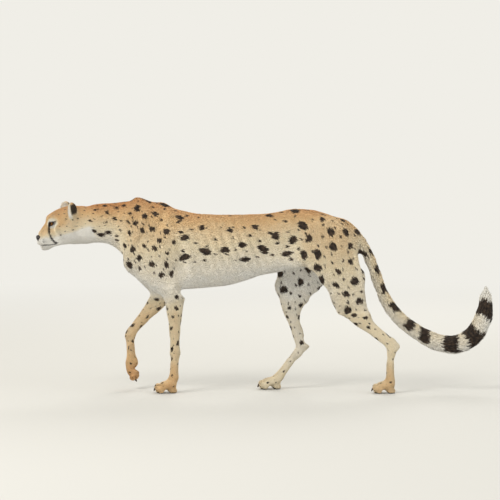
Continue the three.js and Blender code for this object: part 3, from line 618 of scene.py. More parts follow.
FORMS = (
    Form("shoulder", (0.27, 0.74), (0.016, 0.085), 22, 0.0062),  # spine of the shoulder blade
    Form("shoulder", (0.62, 0.76), (0.022, 0.080), 16, -0.0052),  # behind the blade
    Form("shoulder", (0.60, 0.38), (0.048, 0.068), -28, 0.0068),  # muscle of the upper arm
    Form("shoulder", (0.30, 0.30), (0.013, 0.060), -34, -0.0052),  # in front of it
    Form("trunk", (0.285, 0.42), (0.026, 0.095), -12, -0.0078),  # behind the elbow
    Form("trunk", (0.50, 0.42), (0.120, 0.090), 0, 0.0040),  # rib cage
    Form("trunk", (0.735, 0.50), (0.045, 0.085), 26, -0.0082),  # flank
    Form("trunk", (0.850, 0.86), (0.034, 0.022), 0, 0.0045),  # hip bone
    Form("thigh", (0.48, 0.62), (0.068, 0.100), 0, 0.0040),
    Form("thigh", (0.80, 0.46), (0.013, 0.100), -14, -0.0055),  # between the muscles of the thigh
)
RIBS = Form("trunk", (0.47, 0.47), (0.130, 0.090), 0, 1.0)


@dataclass
class Eye:
    """An eye: a wet ball with a bulging cornea, and the opening that the lids leave. Millimetres."""

    at: Triple = (131, 33, 44)
    radius: float = 16.2
    gaze: Triple = (0.85, 0.5, 0.06)
    bulge: float = 1.1  # how far the cornea stands out
    cornea: float = 11.0  # how far the cornea reaches from the middle of the iris
    socket: float = 16.9  # radius of the hollow behind the lids
    sides: tuple[int, int] = (96, 64)  # round the gaze and along it
    opening: Lump = Lump((17, 0, -0.5), (16, 11.4, 6.5))
    corners: Lump = Lump((16, -1.2, -1.2), (12, 14.6, 3.6), (13, 0, 0))

    def frame(self, head: HeadFrame, side: Side) -> Matrix:
        """The eye's own axes: X along the gaze, Y to the left, Z up.

        Args:
            head: the head's axes.
            side: which eye.

        Returns:
            The axes with their origin in the middle of the eye.
        """
        ahead, out, up = self.gaze
        forward = head.direction(ahead, out * side.value, up)
        left = head.direction(0, 0, 1).cross(forward).normalized()
        above = forward.cross(left)
        middle = head.place(self.at[0] * MM, self.at[1] * side.value * MM, self.at[2] * MM)
        return axes_at(middle, forward, left, above)

    def cutter(self, head: HeadFrame, side: Side) -> Object:
        """The hollow of the eye with the almond opening in front of it.

        Args:
            head: the head's axes.
            side: which eye.

        Returns:
            The hollow as one object of overlapping parts.
        """
        axes = self.frame(head, side)
        hollow = Lump((0, 0, 0), (self.socket,) * 3)
        parts = [lump.build(axes, side, 48) for lump in (hollow, self.opening, self.corners)]
        return joined("lid_opening", parts)

    def build(self, head: HeadFrame, side: Side) -> Object:
        """Make the eye.

        Args:
            head: the head's axes.
            side: which eye.

        Returns:
            The eye, with the distance from the middle of its iris as the attribute "reach".
        """
        axes = self.frame(head, side)
        around, rings = self.sides
        bpy.ops.mesh.primitive_uv_sphere_add(segments=around, ring_count=rings, radius=self.radius * MM)
        ball = bpy.context.view_layer.objects.active
        ball.name = side.node("eyeball")
        ball.matrix_world = axes @ Matrix.Rotation(math.pi / 2, 4, "Y")
        fixed_in_place(ball)
        middle = np.array(axes.translation)
        outward = unit(points_of(ball.data) - middle)
        ahead = (outward * np.array(axes.col[0][:3])).sum(axis=1)
        reach = np.arccos(np.clip(ahead, -1, 1)) * self.radius
        lift = self.bulge * (1 - ramp(0, self.cornea, reach))
        move_points(ball.data, middle + outward * ((self.radius + lift) * MM)[:, None])
        store(ball.data, "reach", reach)
        with_edit(ball, lambda: bpy.ops.mesh.normals_make_consistent(inside=False))
        return shaded(ball)


@dataclass
class Mouth:
    """The line between the lips, in the head's axes. Millimetres."""

    line: tuple[Pair, ...] = (
        (139, -36), (152, -38.5), (170, -36), (188, -30.5), (204, -26),
    )
    depth: float = 2.6
    width: float = 1.9
    lip: float = 0.9  # how far the upper lip swells
    lip_at: Pair = (5, 3.2)  # how high the swelling lies over the line, and its width
    corner: Pair = (-2, 8)  # where the line fades in, from its corner

    def above(self, local: Array) -> Array:
        """How high points lie above the line between the lips.

        Args:
            local: places in the head's axes, in millimetres.

        Returns:
            One height for each place.
        """
        along, level = np.array(self.line).T
        return local[:, 2] - np.interp(local[:, 0], along, level)

    def reach(self, local: Array) -> Array:
        """1 where the mouth is and 0 behind its corners."""
        start = self.line[0][0]
        return ramp(start + self.corner[0], start + self.corner[1], local[:, 0])

    def depth_at(self, local: Array) -> Array:
        """How deep the face sinks in at each point.

        Args:
            local: places in the head's axes, in millimetres.

        Returns:
            Depths in millimetres, below zero where the lip swells.
        """
        above = self.above(local)
        height, width = self.lip_at
        groove = self.depth * np.exp(-((above / self.width) ** 2))
        swelling = self.lip * np.exp(-(((above - height) / width) ** 2))
        return (groove - swelling) * self.reach(local)


@dataclass
class Nose:
    """The bare nose pad with its nostrils, in the head's axes. Millimetres."""

    body: Lump = Lump((202.5, 0, 3.5), (12.8, 17.2, 11.2), (0, 12, 0), paired=False)
    stem: Lump = Lump((203, 0, -9), (8, 5.5, 9), (0, -14, 0), paired=False)
    wing: Lump = Lump((200, 11, 1.5), (12, 7.6, 8.4), (0, 12, 24))
    nostril: Lump = Lump((213.0, 8.6, 2.4), (10, 4.6, 3.9), (24, 0, 22))
    slit: Lump = Lump((206, 15.6, -0.6), (10, 5.0, 2.0), (-26, 0, 40))
    groove: Lump = Lump((218, 0, -5), (6, 1.0, 12), (0, 8, 0), paired=False)
    front: float = 206.5  # where the flat front of the pad begins
    flatten: float = 0.5  # how far the front is pressed flat
    mesh_size: float = 0.75

    def build(self, head: HeadFrame) -> Object:
        """Make the nose pad.

        Args:
            head: the head's axes.

        Returns:
            The nose pad as one closed body.
        """
        solid = self.fused([self.body, self.stem, self.wing], head)
        holes = self.fused([self.nostril, self.slit, self.groove], head)
        apply_modifier(solid, "BOOLEAN", operation="DIFFERENCE", object=holes, solver="MANIFOLD")
        bpy.data.objects.remove(holes)
        apply_modifier(solid, "REMESH", mode="VOXEL", voxel_size=self.mesh_size * MM)
        local = head.local(Web(solid.data).even_out(points_of(solid.data), 4)) / MM
        over = np.maximum(local[:, 0] - self.front, 0)
        local[:, 0] -= over * self.flatten
        move_points(solid.data, local * MM @ head.axes.T + head.origin)
        solid.name = "nose_pad"
        return shaded(solid)

    def fused(self, lumps: Sequence[Lump], head: HeadFrame) -> Object:
        """Several masses made into one body.

        Args:
            lumps: the masses; a paired one comes on both sides.
            head: the head's axes.

        Returns:
            The fused body.
        """
        whole = joined("nose_part", [mass for lump in lumps for mass in lump.both(head.matrix, 32)])
        apply_modifier(whole, "REMESH", mode="VOXEL", voxel_size=self.mesh_size * MM)
        return whole


@dataclass
class Skin:
    """The animal's skin: one closed mesh under the coat."""

    outline: Outline
    head: HeadFrame
    tail: CentreLine
    coarse: float = 5.0 * MM  # mesh size at which the body is smoothed
    fine: float = 2.1 * MM  # mesh size of face and feet
    rounds: int = 100  # strongest smoothing
    fits: int = 2  # how often the smoothed form is brought back to the outline
    firm: float = 0.15  # hides smoothed less than this keep their seams' form
    swell: float = 1.2 * MM  # grows the pieces so that they overlap
    seam: tuple[int, float] = (24, 3.2)  # reach and strength of the extra smoothing at seams
    share_reach: int = 12  # how far the smoothing is spread over the joins
    depth_reach: int = 20  # how far the depth under the coat is spread
    side_on: Pair = (0.15, 0.7)  # how far a face looks sideways to carry forms
    settle_rounds: int = 34
    settle_share: Pair = (0.12, 0.38)  # smoothing of the joins, and what the head adds
    clearance: float = 0.4 * MM  # least height over the floor
    toe: Lump = Lump((0, 0, 0), (12.5, 9.6, 10.5))
    toe_back: float = 8.0  # how far a toe's middle lies behind its claw's root, in millimetres
    tail_tip: Lump = Lump((-14, 0, 0), (22, 17, 17))
    levels: int = 10  # steps of detail when faces are taken away
    faces: int = 172_000
    hold: Pair = (0.2, 0.5)  # how firmly plain and detailed stretches keep faces
    lid_edge: float = 1.1 * MM  # mesh size of the cut between the lids
    toe_groove: Pair = (4.2 * MM, 2.6 * MM)  # depth and width between the toes
    toe_reach: Pair = (-0.036, -0.012)  # where the grooves begin, behind the claws
    rib: Triple = (1.2 * MM, 0.034, 0.4)  # height, spacing and slant of the ribs
    face: Face = field(default_factory=Face)
    ear: Ear = field(default_factory=Ear)
    eye: Eye = field(default_factory=Eye)
    mouth: Mouth = field(default_factory=Mouth)

    def build(self) -> Object:
        """Make the skin.

        Returns:
            The skin as one object.
        """
        body = self.gather()
        self.remesh(body, self.coarse)
        self.smooth(body)
        self.add_forms(body)
        ears = [self.ear.build(self.head.matrix, side) for side in Side]
        ends = [*self.toes(), self.tail_end()]
        body = joined("skin", [body, *self.face.build(self.head.matrix), *ears, *ends])
        self.remesh(body, self.fine)
        self.settle(body)
        self.thin_out(body)
        self.part_toes(body)
        self.part_lips(body)
        self.open_lids(body)
        return body

    def gather(self) -> Object:
        """Join slightly swollen copies of the flesh nodes.

        Returns:
            The copies as one object.
        """
        copies = []
        for name in FLESH:
            mesh = frame["nodes"][name].data.copy()
            piece = placed(name + "_flesh", mesh)
            with_edit(piece, lambda: bpy.ops.mesh.remove_doubles(threshold=1e-5))
            push(mesh, self.swell)
            copies.append(piece)
        return joined("skin", copies)

    def remesh(self, body: Object, size: float) -> None:
        """Fuse what overlaps into one even mesh and keep its largest body.

        Args:
            body: the object to fuse.
            size: length of the new mesh's edges.
        """
        apply_modifier(body, "REMESH", mode="VOXEL", voxel_size=size, adaptivity=0.0)
        lowest = int(points_of(body.data)[:, 0].argmin())
        pick(body)
        bpy.ops.object.mode_set(mode="EDIT")
        bpy.ops.mesh.select_all(action="DESELECT")
        bpy.ops.object.mode_set(mode="OBJECT")
        body.data.vertices[lowest].select = True
        bpy.ops.object.mode_set(mode="EDIT")
        bpy.ops.mesh.select_linked()
        bpy.ops.mesh.select_all(action="INVERT")
        bpy.ops.mesh.delete(type="VERT")
        bpy.ops.object.mode_set(mode="OBJECT")

    def smooth(self, body: Object) -> None:
        """Smooth the body and sink it under the coat.

        Args:
            body: the fused body.
        """
        mesh = body.data
        web = Web(mesh)
        points = points_of(mesh)
        rough = BVHTree.FromPolygons(points.tolist(), [list(f.vertices) for f in mesh.polygons])
        owners = self.outline.owners(points)
        smoothing = self.outline.table("smoothing", owners)
        seam = np.zeros(len(points))
        seam[web.ends[owners[web.ends] != owners[web.others]]] = 1.0
        reach, strength = self.seam
        seam = np.clip(web.blur(seam, reach) * strength, 0.0, 1.0) * (smoothing > self.firm)
        share = web.blur(np.maximum(smoothing, seam), self.share_reach) * 0.5
        depth = web.blur(self.outline.table("depth", owners), self.depth_reach)
        move_points(mesh, web.even_out(points, self.rounds, share))
        for _ in range(self.fits):
            push(mesh, -web.blur(self.gap(rough, points_of(mesh)), self.rounds, share))
        push(mesh, -(depth + self.swell))

    @staticmethod
    def gap(surface: BVHTree, points: Array) -> Array:
        """How far points lie outside a surface, below zero inside it.

        Args:
            surface: the surface's faces.
            points: the places to measure.

        Returns:
            One distance for each point.
        """
        near = [surface.find_nearest(p)[:2] for p in points.tolist()]
        feet, normals = (np.array([n[i] for n in near]) for i in range(2))
        apart = points - feet
        sign = np.sign(np.einsum("ij,ij->i", apart, normals))
        return np.linalg.norm(apart, axis=1) * sign

    def add_forms(self, body: Object) -> None:
        """Raise muscles and ribs, and sink the hollows between them.

        Args:
            body: the smoothed body.
        """
        mesh = body.data
        points, normals = points_of(mesh), normals_of(mesh)
        lift = np.zeros(len(points))
        height, spacing, slant = self.rib
        for side in Side:
            faces_out = ramp(*self.side_on, normals[:, 1] * -side.value)
            for form in FORMS:
                lift += form.rise(points, side) * faces_out
            cage = RIBS.rise(points, side) * faces_out
            wave = np.cos((points[:, 0] + slant * points[:, 2]) * 2 * math.pi / spacing)
            lift += cage * wave * height
        push(mesh, lift)

    def toes(self) -> list[Object]:
        """Round ends for the toes, each behind its claw.

        Returns:
            The toe ends as objects.
        """
        made = []
        for name in (n for n in frame["nodes"] if "claw_" in n):
            claw = Claw.of(name)
            back = Vector(claw.root) - Vector(claw.along) * self.toe_back * MM
            made.append(self.toe.build(pointed(back, Vector(claw.along))))
        return made

    def tail_end(self) -> Object:
        """A round end for the tail, as an object."""
        before, end = (Vector(point) for point in self.tail.points[-2:])
        return self.tail_tip.build(pointed(end, end - before))

    def settle(self, body: Object) -> None:
        """Round the joins of the added forms and keep all above the floor.

        Args:
            body: the finely fused body.
        """
        mesh = body.data
        web = Web(mesh)
        owners = self.outline.owners(points_of(mesh))
        is_head = self.outline.table("detail", owners) * (owners == self.outline.nodes.index("head"))
        joins, more = self.settle_share
        share = joins + more * web.blur(is_head, 8)
        points = web.even_out(points_of(mesh), self.settle_rounds, share)
        points[:, 2] = np.maximum(points[:, 2], self.clearance)
        move_points(mesh, points)

    def thin_out(self, body: Object) -> None:
        """Take faces away where the form is plain, and keep them at face and feet.

        Args:
            body: the finely fused body.
        """
        mesh = body.data
        web = Web(mesh)
        owners = self.outline.owners(points_of(mesh))
        detail = web.blur(self.outline.table("detail", owners), 10)
        group = body.vertex_groups.new(name="detail")
        levels = np.round(detail * self.levels)
        low, high = self.hold
        for level in range(self.levels + 1):
            chosen = np.flatnonzero(levels == level)
            group.add(chosen.tolist(), low + (high - low) * level / self.levels, "REPLACE")
        ratio = self.faces / (2 * len(mesh.polygons))
        apply_modifier(
            body, "DECIMATE", ratio=ratio, vertex_group="detail", invert_vertex_group=True,
            vertex_group_factor=1.0, use_collapse_triangulate=True,
        )
        body.vertex_groups.clear()

    def part_toes(self, body: Object) -> None:
        """Press grooves between the toes into the paws.

        Args:
            body: the skin.
        """
        mesh = body.data
        points = points_of(mesh)
        owners = self.outline.owners(points)
        sink = np.zeros(len(points))
        depth, width = self.toe_groove
        for paw in (n for n in self.outline.nodes if "paw" in n):
            claws = Claw.row(paw)
            roots = np.array([claw.root for claw in claws])
            across = unit(roots[-1] - roots[0])
            forward = np.array([-1.0, 0.0, 0.0]) + across[0] * across
            if paw == LIFTED_PAW:
                below = unit(np.array(claws[1].along))
                forward = below - np.dot(below, across) * across
            forward = unit(forward)
            mine = owners == self.outline.nodes.index(paw)
            for left, right in zip(roots[:-1], roots[1:]):
                away = points[mine] - (left + right) / 2
                beside = np.exp(-((away @ across / width) ** 2))
                sink[mine] += beside * ramp(*self.toe_reach, away @ forward) * depth
        moved = points - normals_of(mesh) * sink[:, None]
        moved[:, 2] = np.maximum(moved[:, 2], self.clearance)
        move_points(mesh, moved)

    def part_lips(self, body: Object) -> None:
        """Press the line between the lips into the face.

        Args:
            body: the skin.
        """
        points = points_of(body.data)
        local = self.head.local(points) / MM
        in_head = (self.outline.owners(points) == self.outline.nodes.index("head")).astype(float)
        push(body.data, -(self.mouth.depth_at(local) * in_head * MM))

    def open_lids(self, body: Object) -> None:
        """Cut the eye sockets and the openings between the lids.

        Args:
            body: the skin.
        """
        cutters = [self.eye.cutter(self.head, side) for side in Side]
        cutter = joined("lid_openings", cutters)
        apply_modifier(cutter, "REMESH", mode="VOXEL", voxel_size=self.lid_edge)
        apply_modifier(body, "BOOLEAN", operation="DIFFERENCE", object=cutter, solver="MANIFOLD")
        bpy.data.objects.remove(cutter)


@dataclass(frozen=True)
class Claw:
    """Where one claw grows."""

    root: Triple
    along: Triple
    back: Triple  # the side that it bends away from
    length: float

    SUNK = 0.005  # how deep the root of a dewclaw lies in the leg
    LEAN = 0.25  # how far a dewclaw leans away from the leg
    SLICE = 0.02  # half the height of the piece of leg whose middle a dewclaw faces away from

    @staticmethod
    def row(paw: str) -> list["Claw"]:
        """The four claws of a paw's toes, side by side."""
        stem = paw.replace("hind_paw", "hind_claw_").replace("forepaw", "foreclaw_")
        return [Claw.of(f"{stem}{number}") for number in range(1, 5)]

    @staticmethod
    def of(name: str) -> "Claw":
        """Read a claw's place from its node.

        Args:
            name: the claw's node.

        Returns:
            The claw's root, direction, bend and length. Dewclaws hang down from the side of the leg.
        """
        points = points_of(frame["nodes"][name].data)
        middle = points.mean(axis=0)
        axis = np.linalg.svd(points - middle, full_matrices=False)[2][0]
        paw = name.split("_")[0] + ("_hind_paw" if "hind" in name else "_forepaw")
        outward = middle - np.array(sum(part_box(paw), Vector()) / 2)
        back = np.array([0.0, 0.0, 1.0])
        if "dewclaw" in name:
            leg = points_of(frame["nodes"][paw].data)
            leg = leg[np.abs(leg[:, 2] - middle[2]) < Claw.SLICE].mean(axis=0)
            outward, back = -back, unit(middle - leg)
        axis = axis * np.sign(np.dot(outward, axis))
        along = (points - middle) @ axis
        root = middle + axis * along.min()
        if "dewclaw" in name:
            root = root - Claw.SUNK * back
            axis = unit(axis + Claw.LEAN * back)
        return Claw(tuple(root), tuple(axis), tuple(back), float(np.ptp(along)))

    def axes(self) -> Matrix:
        """The claw's own axes: X along it, Z to the side that it bends away from.

        Returns:
            The axes, with the claw's length as their unit.
        """
        along = Vector(self.along)
        across = Vector(self.back).cross(along).normalized()
        axes = axes_at(self.root, along, across, along.cross(across))
        return axes @ Matrix.Diagonal((self.length,) * 3).to_4x4()


@dataclass
class Claws:
    """The claws, as curved blunt horn, all in one piece."""

    thickness: float = 0.26  # radius at the root, as a share of the claw's length
    flatness: float = 0.62  # width as a share of the height
    hook: float = 0.26  # how far the tip bends down, as a share of the length
    ends: Pair = (-0.25, 0.97)  # from inside the toe to the blunt tip
    taper: float = 1.6  # the larger it is, the later the claw gets thin
    tip: float = 0.012  # thickness of the tip, squared and as a share of the root's
    steps: int = 7

    def build(self) -> Object:
        """Make all the claws.

        Returns:
            The claws as one object.
        """
        pattern = self.pattern()
        made = []
        for name in (n for n in frame["nodes"] if "claw" in n):
            one = placed("claw", pattern.data.copy())
            one.matrix_world = Claw.of(name).axes()
            made.append(fixed_in_place(one))
        bpy.data.objects.remove(pattern)
        return shaded(joined("claws", made))

    def pattern(self) -> Object:
        """Make one claw for all to copy.

        Returns:
            A claw of length 1 along X, with its root at the origin.
        """
        along = np.linspace(*self.ends, self.steps)
        drop = self.hook * np.clip(along, 0, 1) ** 2
        left = 1 - np.clip(along, 0, 1) ** self.taper
        radii = self.thickness * np.sqrt(np.clip(left, self.tip, 1))
        line = np.stack([along, np.zeros(self.steps), self.hook * 0.4 - drop], axis=1)
        claw = tube("claw", [(line, radii)], 10)
        claw.scale = (1, self.flatness, 1)
        return fixed_in_place(claw)


@dataclass
class Whiskers:
    """Rows of stiff white hairs on the muzzle, and a few over the eyes. Millimetres."""

    middle: Triple = (186, 17, -13)
    radii: Triple = (22, 16.5, 16)
    rows: int = 4
    each: int = 5
    first: Pair = (0.5, 0.45)  # how far forward and up the first whisker of the upper row grows
    step: Pair = (-0.24, -0.34)  # the same from each whisker to the next, and from row to row
    sunk: float = 0.12  # how deep a root lies in the skin, as a share of the length
    taper: float = 0.92  # how much thinner the tip is, as a share of the root
    steps: int = 7
    length: Pair = (26, 50)
    root: float = 0.42  # radius at the root
    droop: float = 0.16  # how far the tip hangs, as a share of the length
    aim: Triple = (-0.70, 0.62, 0.08)  # where the upper row points
    fan: float = 0.15  # how much lower each further row points
    stray: Pair = (0.06, 0.05)  # how much single hairs turn back and up
    brow: tuple[int, float] = (3, 22)  # how many hairs stand over each eye, and their length
    brow_at: Triple = (136, 31, 62)
    brow_step: Pair = (-5, 3.5)  # how far apart they grow, forward and out
    seed: int = 5

    def build(self, head: HeadFrame) -> Object:
        """Make the whiskers.

        Args:
            head: the head's axes.

        Returns:
            All whiskers as one object.
        """
        dice = np.random.default_rng(self.seed)
        hairs = []
        back, out, up = self.aim
        ahead, beside, above = self.brow_at
        for side in Side:
            for number, start in enumerate(self.roots()):
                row, place = divmod(number, self.each)
                turn_back, turn_up = (dice.normal(0, stray) for stray in self.stray)
                aim = (back + turn_back, out, up - row * self.fan + turn_up)
                size = np.interp(place, [0, self.each - 1], self.length) * dice.uniform(0.85, 1.1)
                hairs.append(self.hair(head, side, start, aim, size))
            count, size = self.brow
            for place in range(count):
                start = (ahead + place * self.brow_step[0], beside + place * self.brow_step[1], above)
                aim = (-0.4, 0.35 + place * 0.15, 0.8)
                hairs.append(self.hair(head, side, start, aim, size))
        return shaded(tube("whiskers", hairs, 5))

    def roots(self) -> list[Array]:
        """Where the whiskers of the left side grow, row by row, in the head's axes."""
        (ahead, up), (back, down) = self.first, self.step
        places = [(place, row) for row in range(self.rows) for place in range(self.each)]
        out = [unit(np.array([ahead + place * back, 1.0, up + row * down])) for place, row in places]
        return [self.middle + one * self.radii for one in out]

    def hair(
        self, head: HeadFrame, side: Side, start: Sequence[float], aim: Sequence[float], size: float
    ) -> tuple[Array, Array]:
        """Line and thickness of one hair.

        Args:
            head: the head's axes.
            side: which side of the muzzle.
            start: the root, in the head's axes.
            aim: the direction it leaves in.
            size: its length.

        Returns:
            Points along the hair and its radius at each.
        """
        mirror = np.array([1, side.value, 1])
        along = np.linspace(-self.sunk, 1, self.steps)[:, None]
        path = np.array(start) + np.array(unit(np.array(aim))) * size * along
        path[:, 2] -= size * self.droop * np.clip(along[:, 0], 0, 1) ** 2
        path = path * mirror * MM
        radii = self.root * MM * (1 - self.taper * np.clip(along[:, 0], 0, 1))
        return np.array([head.place(*p) for p in path]), radii


def tube(name: str, lines: Sequence[tuple[Array, Array]], sides: int) -> Object:
    """Round bodies of changing thickness along lines, closed at both ends.

    Args:
        name: name of the object.
        lines: for each body its points and its radius at each point.
        sides: how many sides the bodies have.

    Returns:
        All the bodies as one mesh object.
    """
    curve = bpy.data.curves.new(name, "CURVE")
    curve.dimensions = "3D"
    curve.bevel_depth = 1.0
    curve.bevel_resolution = max(0, sides // 2 - 2)
    curve.use_fill_caps = True
    for points, radii in lines:
        spline = curve.splines.new("POLY")
        spline.points.add(len(points) - 1)
        for knot, point, radius in zip(spline.points, points, radii):
            knot.co = (*point, 1)
            knot.radius = radius
    made = placed(name, curve)
    pick(made)
    bpy.ops.object.convert(target="MESH")
    return made


# ---------- Markings and lie of the coat ----------
class Ground:
    """The finished skin's corners with what they belong to, for markings and coat."""

    def __init__(
        self, skin: Object, outline: Outline, head: HeadFrame, tail: CentreLine
    ) -> None:
        """Read the skin.

        Args:
            skin: the finished skin.
            outline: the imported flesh.
            head: the head's axes.
            tail: the tail's middle line.
        """
        self.mesh = skin.data
        self.nodes = outline.nodes
        self.outline = outline
        self.head = head
        self.points = points_of(self.mesh)
        self.normals = normals_of(self.mesh)
        self.web = Web(self.mesh)
        self.owners = outline.owners(self.points)
        self.local = head.local(self.points) / MM
        self.along_tail, self.tail_middle, self.tail_heading = tail.nearest(self.points)

    def part(self, *words: str) -> Array:
        """Which corners belong to nodes whose names hold one of these words."""
        chosen = [any(word in name for word in words) for name in self.nodes]
        return np.array(chosen)[self.owners]

    def hide(self, measure: str, rounds: int = 12) -> Array:
        """A measure of the hide at each corner, spread a little over the joins.

        Args:
            measure: its name in Hide.
            rounds: how far it is spread.

        Returns:
            One number for each corner.
        """
        return self.web.blur(self.outline.table(measure, self.owners), rounds)

    def eye_places(self, eye: Eye) -> Array:
        """Every corner in the axes of the eye on its own side, in millimetres.

        Args:
            eye: the eye's sizes.

        Returns:
            Forward, outward and upward distances from the middle of the eye.
        """
        places = np.empty_like(self.local)
        for side in Side:
            back = np.array(eye.frame(self.head, side).inverted())
            mine = self.local[:, 1] * side.value >= 0
            seen = self.points[mine] @ back[:3, :3].T + back[:3, 3]
            seen[:, 1] *= side.value
            places[mine] = seen / MM
        return places


@dataclass
class Lie:
    """Which way the hair lies over the skin."""

    rounds: int = 30

    def directions(self, ground: Ground) -> Array:
        """Find the lie of the coat.

        Args:
            ground: the skin's corners.

        Returns:
            One direction in the skin's surface for each corner.
        """
        flow = np.zeros_like(ground.points)
        for name in ("trunk", "neck", "shoulder", "thigh"):
            flow[ground.part(name)] = self.fixed(name)
        flow[ground.part("head", "_ear")] = self.on_head(ground)[ground.part("head", "_ear")]
        flow[ground.part("tail")] = ground.tail_heading[ground.part("tail")]
        for side in Side:
            for upper, paw in (("forearm", "forepaw"), ("shank", "hind_paw")):
                start = Vector(ground.outline.points[side.node(upper)].max(axis=0))
                line = CentreLine(ground.outline, [side.node(upper)], start, 5)
                mine = ground.part(side.node(upper))
                flow[mine] = line.nearest(ground.points[mine])[2]
                flow[ground.part(side.node(paw))] = self.to_toes(side.node(paw))
        flow = ground.web.blur(unit(flow), self.rounds)
        flow -= np.einsum("ij,ij->i", flow, ground.normals)[:, None] * ground.normals
        return unit(flow)

    @staticmethod
    def fixed(name: str) -> Triple:
        """Direction of the hair on a large part of the body, by the part's name."""
        return {
            "trunk": (1.0, 0.0, -0.16),
            "neck": (1.0, 0.0, -0.10),
            "shoulder": (0.40, 0.0, -1.0),
            "thigh": (0.55, 0.0, -1.0),
        }[name]

    @staticmethod
    def on_head(ground: Ground) -> Array:
        """Direction of the hair on the head: from the nose back, and up the ears.

        Args:
            ground: the skin's corners.

        Returns:
            One direction for each corner.
        """
        side = np.sign(ground.local[:, 1])
        ones = np.ones(len(side))
        back = np.stack([-ones, 0.30 * side, -0.12 * ones], axis=1)
        up = np.stack([-0.15 * ones, 0.35 * side, ones], axis=1)
        chosen = np.where(ground.part("_ear")[:, None], up, back)
        return chosen @ ground.head.axes.T

    @staticmethod
    def to_toes(paw: str) -> Triple:
        """Direction of the hair on a paw, from its claws."""
        return tuple(np.mean([claw.along for claw in Claw.row(paw)], axis=0))


@dataclass(frozen=True)
class Band:
    """A dark band on the tail: its middle and half its length in metres, and how far round it goes."""

    at: float
    half: float
    round: float


